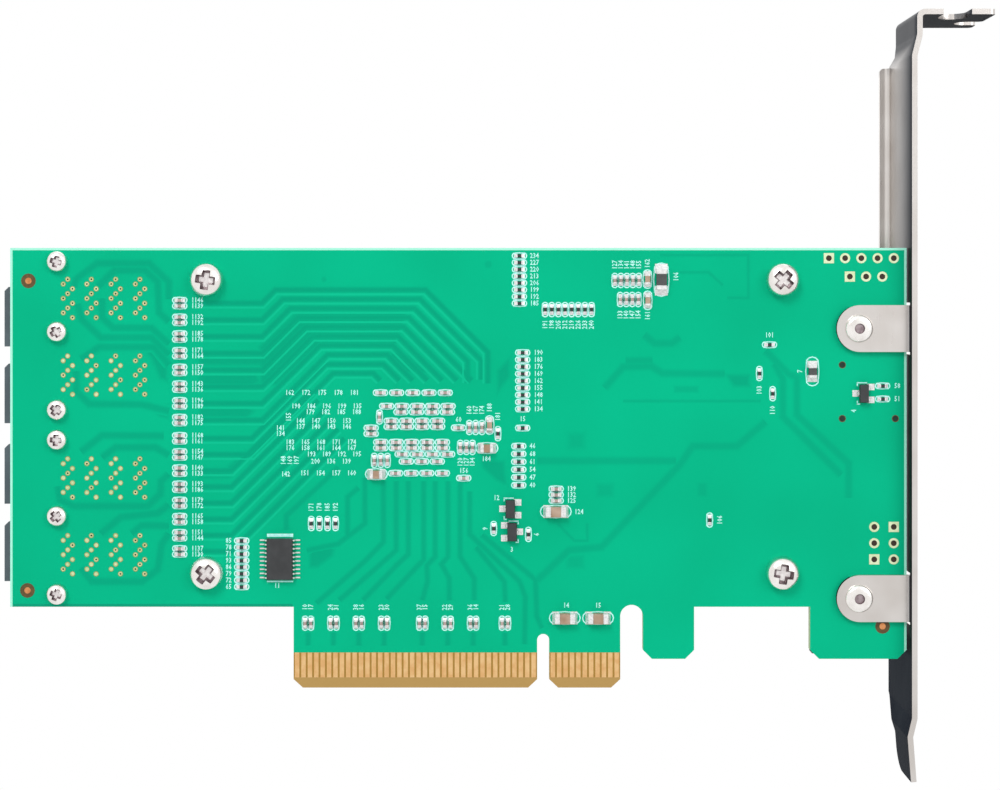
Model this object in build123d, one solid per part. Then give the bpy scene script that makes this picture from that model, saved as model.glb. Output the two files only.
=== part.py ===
from build123d import *
import os
from math import cos, radians

# A host bus adapter: an expansion card on a full-height bracket, upright as it stands in its edge socket.
# +X runs along the card to the bracket, +Y from the solder side to the component side, +Z up the card.
# The origin is the middle of the key notch, at the connector's lower edge, half-way through the board.
# All sizes are in millimetres.

# Board
board_thickness = 1.6
board_left = -83.4
board_right = 56.85
board_top = 68.9
board_bottom = 12.75
corner_chamfer = 1.4

# Edge connector
contact_pitch = 1.0
contact_width = 0.7
contact_thickness = 0.05
contact_top = 5.6
contact_count_long = 38
contact_count_short = 11
first_contact = 1.5
end_margin = 0.55
key_width = 1.9
key_depth = 8.5
bevel_height = 1.7
bevel_depth = 0.5

# Lower edge beside the connector: a round-topped slot, a retention tab, a wide notch and a foot
slot_width = 3.56
slot_rise = 0.3
tab_width = 8.0
tab_bottom = 4.6
notch_width = 18.15

# Plated header holes, a row of five, a row of three and a block of two by three, and plain holes (x, z)
header_pitch = 2.54
header_hole_radius = 0.5
top_header_x = 44.7
top_header_z = 67.3
top_header_count = 5
second_header_x = 47.98
second_header_z = 64.42
second_header_count = 3
block_header_x = 51.8
block_header_z = 25.25
block_header_step = 3.05
block_header_columns = 2
block_header_rows = 3
plain_hole_radius = 0.45
plain_holes = ((46.8, 50.6), (46.8, 42.2), (55.1, 42.2))

# Bracket sheet
sheet = 0.86
bend_radius = 1.3
joggle_radius = 1.2
bracket_gap = 0.3
bracket_near = -3.5
bracket_depth = 18.42
bracket_bottom = -14.05
bracket_top = 105.97
tongue_depth = 10.19
tongue_step = 0.69
tongue_tip_step = 0.15
tongue_bend_low = -7.0
tongue_bend_high = -4.1
tongue_side_top = -8.4
plate_taper_top = -3.7
tongue_corner = 3.5
neck_depth = 16.4
neck_step = 0.8
neck_bend_low = 98.8
neck_bend_high = 102.0
neck_waist = 1.5
shoulder_side = 98.6
shoulder_top = 100.0
lip_length = 12.19
lip_corner = 0.8
screw_notch_width = 4.42
screw_notch_depth = 6.1
screw_notch_offset = 6.25
end_notch_width = 3.9
end_notch_depth = 4.0
end_notch_offset = 10.85
flange_height = 1.6
flange_bend_radius = 1.7
flange_bottom = 16.0
flange_relief = 0.8
flange_run = 0.3
flange_corner = 0.7
vent_flats = 3.2
vent_pitch = 4.3
vent_columns = 3
vent_rows = 6
vent_bottom = 24.0
vent_middle = 6.6

# Bracket tabs on the solder face, each cut free in the plate and bent inwards, and their rivets
lug_left = 45.8
lug_height = 7.3
lug_heights = (56.3, 14.15)
lug_relief = 0.4
rivet_x = 49.3
rivet_shank_radius = 1.3
rivet_clearance = 0.05
rivet_head_radius = 2.2
rivet_head_height = 0.55
rivet_crown_radius = 1.5

# Heatsink and what it cools: it fills the card between the receptacles and the strip beside the bracket
receptacle_gap = 3.3
bracket_strip = 14.45
heatsink_height = 53.6
heatsink_z = 41.0
heatsink_base = 3.0
heatsink_top = 14.4
fin_count = 24
fin_thickness = 0.9
boss_radius = 3.2
boss_hole_radius = 1.5
boss_hole_depth = 5.2
mount_inset_x = 5.0
mount_inset_z = 3.9
controller_x = -16.6
controller_z = 39.7
substrate_size = 29.0
substrate_thickness = 1.4
lid_size = 23.0
lid_thickness = 1.5
lid_corner = 1.0
pad_size = 22.0
pad_thickness = 0.5

# Screws: the head has an upright rim and a sloping crown
heatsink_screw_head_radius = 2.62
heatsink_screw_head_height = 2.2
heatsink_screw_rim = 1.1
heatsink_screw_crown_radius = 1.75
recess_span = 3.0
recess_width = 0.7
recess_depth = 1.2
heatsink_screw_shank_radius = 1.48
heatsink_screw_length = 6.2
heatsink_screw_clearance = 0.17
port_screw_head_radius = 1.62
port_screw_head_height = 1.35
port_screw_shank_radius = 0.9
port_screw_length = 3.2
port_screw_clearance = 0.1
thread_clearance = 0.02

# Plug receptacles at the left end: each housing has two ports and three screws
port_screw_x = -76.0
upper_screws = (66.75, 55.8, 43.6)
lower_screws = (38.9, 27.0, 14.8)
upper_ports = (58.1, 46.0)
lower_ports = (33.3, 21.1)
screw_wall = 1.95
housing_front = -83.2
housing_rear = -60.9
housing_top = 10.4
housing_corner = 0.6
nose_overhang = 1.5
nose_height = 9.4
nose_corner = 0.65
nose_floor = 0.8
port_height = 7.6
port_floor = 2.4
port_roof = 1.4
port_back = -73.0
latch_window_length = 3.0
latch_window_height = 4.4
latch_window_inset = 4.5

# Contact wafers inside the ports
wafer_count = 9
wafer_pitch = 0.75
wafer_thickness = 0.6
wafer_clearance = 0.1
wafer_chamfer = 3.0
beam_length = 7.4
beam_thickness = 1.0
beam_gap = 2.0

# Chip sizes: length, width, height
small_chip = (1.0, 0.5, 0.5)
medium_chip = (1.6, 0.8, 0.8)
large_chip = (2.0, 1.25, 1.1)
long_chip = (3.2, 1.6, 1.3)
small_resistor = (1.0, 0.5, 0.35)
power_bead_long = (3.2, 1.6, 1.1)
power_bead_short = (2.0, 1.25, 0.9)
pair_gap = 0.9

# Moulded chips with leads: lead width, thickness, shoulder, slope, foot
fine_lead = (0.22, 0.15, 0.25, 0.25, 0.6)
wide_lead = (0.42, 0.15, 0.15, 0.2, 0.4)
chip_standoff = 0.1
driver_x = -41.17
driver_z = 20.27
driver_body = (4.1, 6.5, 1.0)
driver_lead_pitch = 0.65
driver_lead_count = 10
transistor_body = (1.5, 2.9, 1.0)
transistor_lead_pitch = 2.0
transistors = ((-5.15, 28.09, -1), (-4.87, 24.5, 1), (50.11, 46.14, -1))
flash_before_end = 5.85
flash_z = 47.0
flash_body = (3.9, 4.9, 1.6)
flash_lead_pitch = 1.27
flash_lead_count = 4

# Parts on the component side in the strip beside the bracket: places from the heatsink (after) or
# from the board's end (before)
capacitors_after_heatsink = 2.2
regulator_size = (4.6, 4.6, 0.9)
regulators_after_heatsink = 3.6
regulator_heights = (24.6, 19.4)
inductor_size = (6.6, 6.6, 3.0)
inductor_corner = 0.8
inductors_before_end = 6.25
inductor_heights = (38.0, 31.0)
storage_capacitor = (4.3, 6.9, 2.8)
storage_capacitor_inset = 2.7
storage_capacitor_z = 8.6
oscillator_size = (2.5, 3.2, 0.9)
oscillator_before_end = 1.95
oscillator_z = 16.4
led_size = (0.8, 1.6, 0.7)
leds_before_end = 1.25
led_first_z = 48.0
led_pitch = 3.0
led_count = 3

# Values that follow from those above
solder_face = -board_thickness / 2
component_face = board_thickness / 2
long_end = -(first_contact + (contact_count_long - 1) * contact_pitch + end_margin)
short_end = first_contact + (contact_count_short - 1) * contact_pitch + end_margin
tab_left = short_end + slot_width
tab_right = tab_left + tab_width
foot_left = tab_right + notch_width
plate_inner = board_right + bracket_gap
plate_outer = plate_inner + sheet
bracket_far = bracket_near + bracket_depth
tongue_far = bracket_near + tongue_depth
neck_far = bracket_near + neck_depth
lip_end = plate_outer + lip_length
lug_outer = solder_face - sheet
lug_bend_radius = sheet + bracket_gap
window_far = solder_face + plate_inner - lug_left
heatsink_low = component_face + substrate_thickness + lid_thickness + pad_thickness
heatsink_left = housing_rear + receptacle_gap
heatsink_right = board_right - bracket_strip
nose_front = board_left - nose_overhang
cavity_low = component_face + port_floor
cavity_high = housing_top - port_roof
mount_places = [(x, heatsink_z + side * (heatsink_height / 2 - mount_inset_z))
                for x in (heatsink_left + mount_inset_x, heatsink_right - mount_inset_x) for side in (-1, 1)]
strip_capacitor_x = heatsink_right + capacitors_after_heatsink
flash_x = board_right - flash_before_end
oscillator_places = [(board_right - oscillator_before_end, oscillator_z)]
regulator_places = [(heatsink_right + regulators_after_heatsink, z) for z in regulator_heights]
inductor_places = [(board_right - inductors_before_end, z) for z in inductor_heights]
storage_places = [(foot_left + storage_capacitor_inset, storage_capacitor_z),
                  (board_right - storage_capacitor_inset, storage_capacitor_z)]
led_places = [(board_right - leds_before_end, led_first_z + i * led_pitch) for i in range(led_count)]


def slab(face, y_low, y_high):
    """A flat shape drawn in x and z, filled from y_low to y_high."""
    return extrude(Plane.XZ.offset(-y_high) * face, amount=y_high - y_low)


def disc(x, z, radius):
    return Pos(x, z) * Circle(radius)


def rod(x, z, radius, y_low, y_high):
    return slab(disc(x, z, radius), y_low, y_high)


def octagon(x, z, radius):
    """Stands in for the small rounds that hide under a head or pin, all turned alike, so that they nest."""
    return Pos(x, z) * RegularPolygon(radius, 8)


def eight_sided(x, z, radius, y_low, y_high):
    return slab(octagon(x, z, radius), y_low, y_high)


def panel(x_low, x_high, z_low, z_high):
    return Pos((x_low + x_high) / 2, (z_low + z_high) / 2) * Rectangle(x_high - x_low, z_high - z_low)


def block(x_range, y_range, z_range):
    middle = [(low + high) / 2 for low, high in (x_range, y_range, z_range)]
    size = [high - low for low, high in (x_range, y_range, z_range)]
    return Pos(*middle) * Box(*size)


def save(node, solids):
    """Writes one node, as one solid or as a group of separate solids."""
    if isinstance(solids, list):
        solids = Compound(solids)
    export_step(solids, f"parts/{node}.step")


def folded(plane, points, radii, height):
    """A strip of sheet that follows the points on its left side, drawn out by height."""
    path = FilletPolyline(*points, radius=radii)
    return extrude(plane * make_face(offset(path, amount=sheet, side=Side.RIGHT)), amount=height)


# Board and its edge contacts

def header_holes():
    places = [(top_header_x + i * header_pitch, top_header_z) for i in range(top_header_count)]
    places += [(second_header_x + i * header_pitch, second_header_z) for i in range(second_header_count)]
    places += [(block_header_x + i * block_header_step, block_header_z - k * header_pitch)
               for i in range(block_header_columns) for k in range(block_header_rows)]
    return places


def board_outline():
    low_edge = panel(board_left, board_right, board_bottom, board_top)
    connector = panel(long_end, short_end, 0, board_bottom)
    retention_tab = panel(tab_left, tab_right, tab_bottom, board_bottom)
    foot = panel(foot_left, board_right, tab_bottom, board_bottom)
    outline = low_edge + connector + retention_tab + foot
    key_radius = key_width / 2
    key_middle = key_depth - key_radius
    outline -= panel(-key_radius, key_radius, -1, key_middle) + disc(0, key_middle, key_radius)
    slot_radius = slot_width / 2
    slot_x = short_end + slot_radius
    slot_z = board_bottom + slot_rise - slot_radius
    outline += panel(short_end, tab_left, slot_z, board_bottom)
    outline -= disc(slot_x, slot_z, slot_radius)
    low_corners = [v for v in outline.vertices() if v.Y < tab_bottom + 0.01 and abs(v.Y - key_depth) > 1]
    return chamfer(low_corners, corner_chamfer)


def circuit_board():
    holes = [(x, z, heatsink_screw_shank_radius + heatsink_screw_clearance) for x, z in mount_places]
    holes += [(port_screw_x, z, port_screw_shank_radius + port_screw_clearance)
              for z in upper_screws + lower_screws]
    holes += [(rivet_x, z, rivet_shank_radius + rivet_clearance) for z in lug_heights]
    holes += [(x, z, header_hole_radius) for x, z in header_holes()]
    holes += [(x, z, plain_hole_radius) for x, z in plain_holes]
    face = board_outline() - [octagon(*hole) for hole in holes]
    board = slab(face, solder_face, component_face)
    for side in (-1, 1):
        face_y = side * board_thickness / 2
        wedge = Polyline((face_y + side, -1), (face_y + side, bevel_height), (face_y, bevel_height),
                         (face_y - side * bevel_depth, 0), (face_y - side * bevel_depth, -1), close=True)
        board -= extrude(Plane.YZ.offset(long_end - 1) * make_face(wedge), amount=short_end - long_end + 2)
    return board


def edge_contacts(side):
    inner = side * board_thickness / 2
    outer = inner + side * contact_thickness
    middles = [-(first_contact + i * contact_pitch) for i in range(contact_count_long)]
    middles += [first_contact + i * contact_pitch for i in range(contact_count_short)]
    half = contact_width / 2
    y_range = sorted((inner, outer))
    return [block((x - half, x + half), y_range, (bevel_height, contact_top)) for x in middles]


# Bracket: one sheet, folded at the lip, the joggles, the far flange and the two lugs

def bracket_sheet():
    side_view = [
        (plate_inner - tongue_tip_step, bracket_bottom),
        (plate_inner - tongue_step, tongue_bend_low),
        (plate_inner, tongue_bend_high),
        (plate_inner, neck_bend_low),
        (plate_inner + neck_step, neck_bend_high),
        (plate_inner + neck_step, bracket_top),
        (lip_end, bracket_top),
    ]
    radii = [joggle_radius] * 4 + [bend_radius]
    strip = folded(Plane.XZ.offset(-bracket_far), side_view, radii, bracket_depth)
    outline = make_face(Polyline(
        (bracket_near, bracket_bottom - 1), (tongue_far, bracket_bottom - 1), (tongue_far, tongue_side_top),
        (bracket_far, plate_taper_top), (bracket_far, shoulder_side), (neck_far - neck_waist, shoulder_top),
        (neck_far, neck_bend_high), (neck_far, bracket_top + 1), (bracket_near, bracket_top + 1),
        close=True))
    corner = Pos(tongue_far - tongue_corner, bracket_bottom + tongue_corner)
    outline -= corner * (Pos(tongue_corner, -tongue_corner) * Rectangle(2 * tongue_corner, 2 * tongue_corner)
                         - Circle(tongue_corner))
    across = extrude(Plane.YZ.offset(plate_inner - 2) * outline, amount=lip_end - plate_inner + 4)
    return strip & across


def lip_notches():
    low, high = bracket_top - 2 * sheet, bracket_top + 1
    screw_x = plate_outer + screw_notch_offset
    radius = screw_notch_width / 2
    screw_y = bracket_near + screw_notch_depth - radius
    screw_notch = (Pos(screw_x, screw_y) * Circle(radius)
                   + panel(screw_x - radius, screw_x + radius, bracket_near - 1, screw_y))
    end_radius = end_notch_width / 2
    end_y = bracket_near + end_notch_offset
    end_x = lip_end - end_notch_depth + end_radius
    end_notch = (Pos(end_x, end_y) * Circle(end_radius)
                 + panel(end_x, lip_end + 1, end_y - end_radius, end_y + end_radius))
    return [extrude(Plane.XY.offset(low) * notch, amount=high - low) for notch in (screw_notch, end_notch)]


def vents():
    """A staggered field of six-sided holes through the plate, beside the component side."""
    column_step = vent_pitch * cos(radians(30))
    holes = []
    for column in range(vent_columns):
        y = vent_middle + (column - (vent_columns - 1) / 2) * column_step
        odd = column % 2
        for row in range(vent_rows - odd):
            z = vent_bottom + (row + odd / 2) * vent_pitch
            hexagon = RegularPolygon(vent_flats / 2, 6, major_radius=False, rotation=0)
            holes.append(Pos(y, z) * hexagon)
    return extrude(Plane.YZ.offset(plate_inner - 1) * (Sketch() + holes), amount=sheet + 2)


def far_flange(solid):
    cut_y = bracket_far - flange_bend_radius - flange_run
    length = shoulder_side - flange_bottom
    solid -= block((plate_inner - 1, plate_outer + 1), (cut_y, bracket_far + 1),
                   (flange_bottom - flange_relief, shoulder_side))
    fold = [(plate_inner - flange_height, bracket_far), (plate_outer, bracket_far), (plate_outer, cut_y)]
    flange = folded(Plane.XY.offset(flange_bottom), fold, [flange_bend_radius], length)
    tips = flange.edges().filter_by(Axis.Y).group_by(Axis.X)[0].sort_by(Axis.Z)
    return solid + fillet(tips[-1], flange_corner)


def lug(solid, z):
    """Opens a round-ended window in the plate and bends its tongue of metal inwards along the board."""
    half = lug_height / 2
    root = solder_face - lug_bend_radius
    window = half + lug_relief
    opening = panel(root, window_far - window, z - window, z + window) + disc(window_far - window, z, window)
    solid -= extrude(Plane.YZ.offset(plate_inner - 1) * opening, amount=sheet + 2)
    fold = [(lug_left, solder_face), (plate_outer, solder_face), (plate_outer, root - lug_relief)]
    strip = folded(Plane.XY.offset(z - half), fold, [lug_bend_radius], lug_height)
    square_end = slab(panel(lug_left - 1, lug_left + half, z - half - 1, z + half + 1)
                      - disc(lug_left + half, z, half), lug_outer - 1, component_face)
    strip -= square_end
    strip -= eight_sided(rivet_x, z, rivet_shank_radius + rivet_clearance, lug_outer - 1, component_face)
    return solid + strip


def bracket():
    solid = bracket_sheet()
    for notch in lip_notches():
        solid -= notch
    lip_ends = solid.edges().filter_by(Axis.Z).group_by(Axis.X)[-1]
    solid = fillet(lip_ends, lip_corner)
    solid -= vents()
    solid = far_flange(solid)
    for z in lug_heights:
        solid = lug(solid, z)
    return solid


# Fasteners, turned about an axis through the seat of the head

def turned(*profile):
    """Turns an outline of radius and height, and lays its axis along y with height towards +y."""
    return Rot(-90, 0, 0) * revolve(Plane.XZ * make_face(Polyline(*profile, close=True)), axis=Axis.Z)


def heatsink_screw(angle):
    """A pan-head screw with its seat at y = 0 and a cross recess turned by the angle."""
    radius, height = heatsink_screw_head_radius, heatsink_screw_head_height
    screw = turned((0, -height), (heatsink_screw_crown_radius, -height), (radius, -heatsink_screw_rim),
                   (radius, 0), (0, 0))
    cross = Rectangle(recess_span, recess_width) + Rectangle(recess_width, recess_span)
    screw -= slab(Rot(0, 0, angle) * cross, -height - 1, -height + recess_depth)
    return screw + eight_sided(0, 0, heatsink_screw_shank_radius, 0, heatsink_screw_length)


def heatsink_screws():
    return [Pos(x, solder_face, z) * heatsink_screw(20 + 25 * i) for i, (x, z) in enumerate(mount_places)]


def port_screws():
    screw = rod(0, 0, port_screw_head_radius, -port_screw_head_height, 0)
    screw += eight_sided(0, 0, port_screw_shank_radius, 0, port_screw_length)
    return [Pos(port_screw_x, solder_face, z) * screw for z in upper_screws + lower_screws]


def rivet():
    """A rivet with a low coned head on the lug and a flat head on the far side."""
    grip = sheet + board_thickness
    solid = turned((0, -rivet_head_height), (rivet_crown_radius, -rivet_head_height), (rivet_head_radius, 0),
                   (0, 0))
    solid += eight_sided(0, 0, rivet_shank_radius, 0, grip)
    return solid + rod(0, 0, rivet_head_radius, grip, grip + rivet_head_height)


def bracket_rivets():
    solid = rivet()
    return [Pos(rivet_x, lug_outer, z) * solid for z in lug_heights]


# Heatsink, thermal pad and controller

def heatsink():
    base_high = heatsink_low + heatsink_base
    low, high = heatsink_z - heatsink_height / 2, heatsink_z + heatsink_height / 2
    section = panel(heatsink_low, base_high, low, high)
    pitch = (heatsink_height - fin_thickness) / (fin_count - 1)
    fins = [panel(base_high - 0.1, heatsink_top, low + i * pitch, low + i * pitch + fin_thickness)
            for i in range(fin_count)]
    solid = extrude(Plane.YZ.offset(heatsink_left) * (section + fins), amount=heatsink_right - heatsink_left)
    for x, z in mount_places:
        solid += rod(x, z, boss_radius, component_face, heatsink_low + 0.1)
    for x, z in mount_places:
        solid -= eight_sided(x, z, boss_hole_radius, component_face - 0.1, component_face + boss_hole_depth)
    return solid


def square_slab(size, y_low, thickness, corner=0.0):
    half = size / 2
    solid = block((controller_x - half, controller_x + half), (y_low, y_low + thickness),
                  (controller_z - half, controller_z + half))
    if corner:
        solid = chamfer(solid.edges().filter_by(Axis.Y), corner)
    return solid


# Receptacles

def housing(screws, ports):
    low, high = min(screws) - screw_wall, max(screws) + screw_wall
    solid = block((housing_front, housing_rear), (component_face, housing_top), (low, high))
    top_edges = solid.edges().filter_by(Axis.X).group_by(Axis.Y)[-1]
    solid = chamfer(top_edges, housing_corner)
    wafer_half = wafer_count * wafer_pitch / 2
    for z in ports:
        nose = panel(nose_front, housing_front + 1, z - nose_height / 2, z + nose_height / 2)
        nose = chamfer(nose.vertices().group_by(Axis.X)[0].sort_by(Axis.Y)[-1], nose_corner)
        solid += slab(nose, component_face + nose_floor, housing_top - housing_corner)
    for z in ports:
        half = port_height / 2
        solid -= block((nose_front - 1, port_back), (cavity_low, cavity_high), (z - half, z + half))
        solid -= block((port_back - 0.1, housing_rear + 1), (component_face - 1, cavity_high),
                       (z - wafer_half, z + wafer_half))
        window_x = nose_front + latch_window_inset
        solid -= block((window_x, window_x + latch_window_length), (cavity_high - 1, housing_top + 1),
                       (z - latch_window_height / 2, z + latch_window_height / 2))
    hole_depth = port_screw_length - board_thickness + thread_clearance
    for z in screws:
        solid -= eight_sided(port_screw_x, z, port_screw_shank_radius + thread_clearance,
                             component_face - 1, component_face + hole_depth)
    return solid


def wafers(port_z):
    """Thin contact wafers side by side: a right-angled body with two contact beams towards the mouth."""
    front = port_back + wafer_clearance
    rear = housing_rear - wafer_clearance
    top = cavity_high - wafer_clearance
    middle = (cavity_low + cavity_high) / 2
    beams = [middle + beam_gap / 2 + beam_thickness, middle + beam_gap / 2,
             middle - beam_gap / 2, middle - beam_gap / 2 - beam_thickness]
    tip = front - beam_length
    outline = Polyline(
        (rear, component_face), (rear, top - wafer_chamfer), (rear - wafer_chamfer, top), (front, top),
        (front, beams[0]), (tip, beams[0]), (tip, beams[1]), (front, beams[1]),
        (front, beams[2]), (tip, beams[2]), (tip, beams[3]), (front, beams[3]),
        (front, component_face), close=True)
    face = make_face(outline)
    first = port_z - (wafer_count - 1) * wafer_pitch / 2 - wafer_thickness / 2
    return [extrude(Plane.XY.offset(first + i * wafer_pitch) * face, amount=wafer_thickness)
            for i in range(wafer_count)]


# Chips: each place is (x, z, upright)

def line_of(x, z, count, step_x=0.0, step_z=0.0, upright=False):
    return [(x + i * step_x, z + i * step_z, upright) for i in range(count)]


def pairs_of(x, z, count, step_x=0.0, step_z=0.0, upright=False):
    """Pairs of chips that lie side by side, pair_gap apart."""
    places = []
    for cx, cz, turned_up in line_of(x, z, count, step_x, step_z, upright):
        for side in (-0.5, 0.5):
            shift = side * pair_gap
            places.append((cx + shift, cz, True) if turned_up else (cx, cz - shift, False))
    return places


def small_capacitor_places():
    return (
        # coupling capacitors between the receptacles and the controller
        pairs_of(-56.87, 60.27, 8, step_z=-2.614)
        + pairs_of(-56.87, 39.11, 8, step_z=-2.527)
        # coupling capacitors above the edge connector
        + pairs_of(-36.79, 10.19, 4, step_x=3.97, upright=True)
        + pairs_of(-18.92, 10.19, 3, step_x=3.98, upright=True)
        + pairs_of(-5.99, 10.19, 1, upright=True)
        # supply capacitors under the controller
        + line_of(-25.46, 46.25, 5, step_x=2.53)
        + line_of(-24.49, 44.14, 5, step_x=2.4)
        + line_of(-22.25, 43.23, 4, step_x=2.42)
        + line_of(-25.62, 42.45, 1, upright=True)
        + pairs_of(-23.79, 41.38, 4, step_x=2.42)
        + pairs_of(-26.92, 40.28, 1)
        + pairs_of(-25.41, 38.06, 5, step_x=2.41)
        + line_of(-22.07, 36.63, 4, step_x=2.37)
        + line_of(-21.42, 35.5, 3, step_x=2.42)
        + line_of(-26.43, 35.66, 3, step_x=1.02, upright=True)
        + line_of(-23.1, 33.66, 4, step_x=2.44)
        # beside the controller
        + line_of(-13.24, 40.77, 1)
        + line_of(-11.56, 40.81, 3, step_x=0.99, upright=True)
        + line_of(-12.97, 37.69, 3, step_x=0.95, upright=True)
        + line_of(-12.43, 32.89, 1)
        # near the top edge
        + line_of(-3.72, 67.67, 8, step_z=-1.063)
        + line_of(0.3, 59.25, 8, step_x=1.037, upright=True)
        + line_of(11.21, 63.81, 5, step_x=0.94, upright=True)
        + line_of(12.05, 60.83, 4, step_x=0.94, upright=True)
        + line_of(2.03, 31.2, 3, step_z=-0.92)
    )


def resistor_places():
    return (
        line_of(-47.17, 23.09, 8, step_z=-1.03)
        + line_of(-36.28, 25.78, 4, step_x=1.263, upright=True)
        + line_of(-3.21, 52.52, 9, step_z=-1.103)
        + line_of(-3.21, 40.73, 1)
        + line_of(-3.82, 37.89, 6, step_z=-1.222)
        + line_of(-7.09, 39.84, 1, upright=True)
        + line_of(-7.75, 25.0, 1, upright=True)
        + line_of(-2.32, 24.08, 1, upright=True)
        + line_of(35.41, 53.75, 1)
        + line_of(33.82, 49.25, 1, upright=True)
        + line_of(35.9, 46.09, 1, upright=True)
        + line_of(26.04, 26.33, 1, upright=True)
        + line_of(53.11, 47.31, 2, step_z=-2.04)
    )


def chips(places, size, side):
    """Chips seated on one face of the board: side is -1 on the solder face and 1 on the component face."""
    length, width, height = size
    seat = side * board_thickness / 2
    y_range = sorted((seat, seat + side * height))
    solids = []
    for x, z, upright in places:
        half_x, half_z = (width / 2, length / 2) if upright else (length / 2, width / 2)
        solids.append(block((x - half_x, x + half_x), y_range, (z - half_z, z + half_z)))
    return solids


def large_capacitors():
    medium = [(-8.39, 41.2, True), (16.31, 64.02, True), (16.35, 60.7, True)]
    large = [(-26.1, 33.5, False), (-8.81, 37.58, False)]
    long = [(3.38, 11.0, False), (8.58, 11.0, False), (1.97, 27.66, False)]
    return chips(medium, medium_chip, -1) + chips(large, large_chip, -1) + chips(long, long_chip, -1)


def power_beads():
    return (chips([(18.48, 63.94, True)], power_bead_long, -1)
            + chips([(42.11, 49.58, True)], power_bead_short, -1))


def component_side_capacitors():
    places = (line_of(strip_capacitor_x, 29.0, 6, step_z=2.0)
              + line_of(strip_capacitor_x, 53.0, 4, step_z=2.0))
    return chips(places, medium_chip, 1)


# Moulded bodies and their leads

def moulded(x, z, body, side):
    """A moulded body with drafted sides, standing a little off the board."""
    width, depth, height = body
    near = side * (board_thickness / 2 + chip_standoff)
    middle = near + side * (height - chip_standoff) / 2
    far = near + side * (height - chip_standoff)
    draft = 0.12
    sections = []
    for y, shrink in ((near, draft), (middle, 0), (far, draft)):
        sections.append(Plane.XZ.offset(-y) * Pos(x, z) * Rectangle(width - 2 * shrink, depth - 2 * shrink))
    return loft(sections, ruled=True)


def gull_lead(x, z, direction, lead, body, side):
    """One lead from a body edge at x, reaching out in direction and down to the board."""
    width, thickness, shoulder, slope, foot = lead
    root = (body[2] + chip_standoff) / 2 - thickness / 2
    steps = [(0, root + thickness), (shoulder, root + thickness), (shoulder + slope, thickness),
             (shoulder + slope + foot, thickness), (shoulder + slope + foot, 0),
             (shoulder + slope - thickness / 2, 0), (0, root)]
    points = [(x + direction * out, side * (board_thickness / 2 + up)) for out, up in steps]
    face = make_face(Polyline(*points, close=True))
    return extrude(Plane.XY.offset(z - width / 2) * face, amount=width)


def two_rows_of_leads(x, z, body, lead, pitch, count, side):
    solids = []
    for direction in (-1, 1):
        for i in range(count):
            lead_z = z + (i - (count - 1) / 2) * pitch
            solids.append(gull_lead(x + direction * body[0] / 2, lead_z, direction, lead, body, side))
    return solids


def transistor_leads():
    solids = []
    for x, z, single in transistors:
        edge = transistor_body[0] / 2
        half_pitch = transistor_lead_pitch / 2
        solids.append(gull_lead(x + single * edge, z, single, wide_lead, transistor_body, -1))
        for dz in (-half_pitch, half_pitch):
            solids.append(gull_lead(x - single * edge, z + dz, -single, wide_lead, transistor_body, -1))
    return solids


def power_inductors():
    """Shielded inductors: square with chamfered corners."""
    width, depth, height = inductor_size
    solids = []
    for x, z in inductor_places:
        outline = Pos(x, z) * Rectangle(width, depth)
        outline = chamfer(outline.vertices(), inductor_corner)
        solids.append(slab(outline, component_face, component_face + height))
    return solids


def upright_blocks(places, size):
    width, depth, height = size
    return [block((x - width / 2, x + width / 2), (component_face, component_face + height),
                  (z - depth / 2, z + depth / 2)) for x, z in places]


os.makedirs("parts", exist_ok=True)

save("circuit_board", circuit_board())
save("solder_side_contacts", edge_contacts(-1))
save("component_side_contacts", edge_contacts(1))
save("bracket", bracket())
save("bracket_rivets", bracket_rivets())
save("heatsink", heatsink())
save("heatsink_screws", heatsink_screws())
save("thermal_pad", square_slab(pad_size, heatsink_low - pad_thickness, pad_thickness))
save("controller_substrate", square_slab(substrate_size, component_face, substrate_thickness))
lid_low = component_face + substrate_thickness
save("controller_lid", square_slab(lid_size, lid_low, lid_thickness, lid_corner))
save("upper_receptacle_housing", housing(upper_screws, upper_ports))
save("lower_receptacle_housing", housing(lower_screws, lower_ports))
for number, port_z in enumerate(upper_ports + lower_ports, 1):
    save(f"port_{number}_contact_wafers", wafers(port_z))
save("receptacle_screws", port_screws())
save("driver_chip_body", moulded(driver_x, driver_z, driver_body, -1))
save("driver_chip_leads", two_rows_of_leads(driver_x, driver_z, driver_body, fine_lead, driver_lead_pitch,
                                            driver_lead_count, -1))
save("chip_capacitors", chips(small_capacitor_places(), small_chip, -1))
save("large_capacitors", large_capacitors())
save("chip_resistors", chips(resistor_places(), small_resistor, -1))
save("power_beads", power_beads())
save("transistor_bodies", [moulded(x, z, transistor_body, -1) for x, z, single in transistors])
save("transistor_leads", transistor_leads())
save("flash_chip_body", moulded(flash_x, flash_z, flash_body, 1))
save("flash_chip_leads", two_rows_of_leads(flash_x, flash_z, flash_body, wide_lead, flash_lead_pitch,
                                           flash_lead_count, 1))
save("oscillator", upright_blocks(oscillator_places, oscillator_size)[0])
save("power_inductors", power_inductors())
save("regulators", upright_blocks(regulator_places, regulator_size))
save("storage_capacitors", upright_blocks(storage_places, storage_capacitor))
save("component_side_capacitors", component_side_capacitors())
save("status_leds", upright_blocks(led_places, led_size))
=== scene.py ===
import math

import bmesh
import bpy
from mathutils import Matrix, Vector


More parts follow.
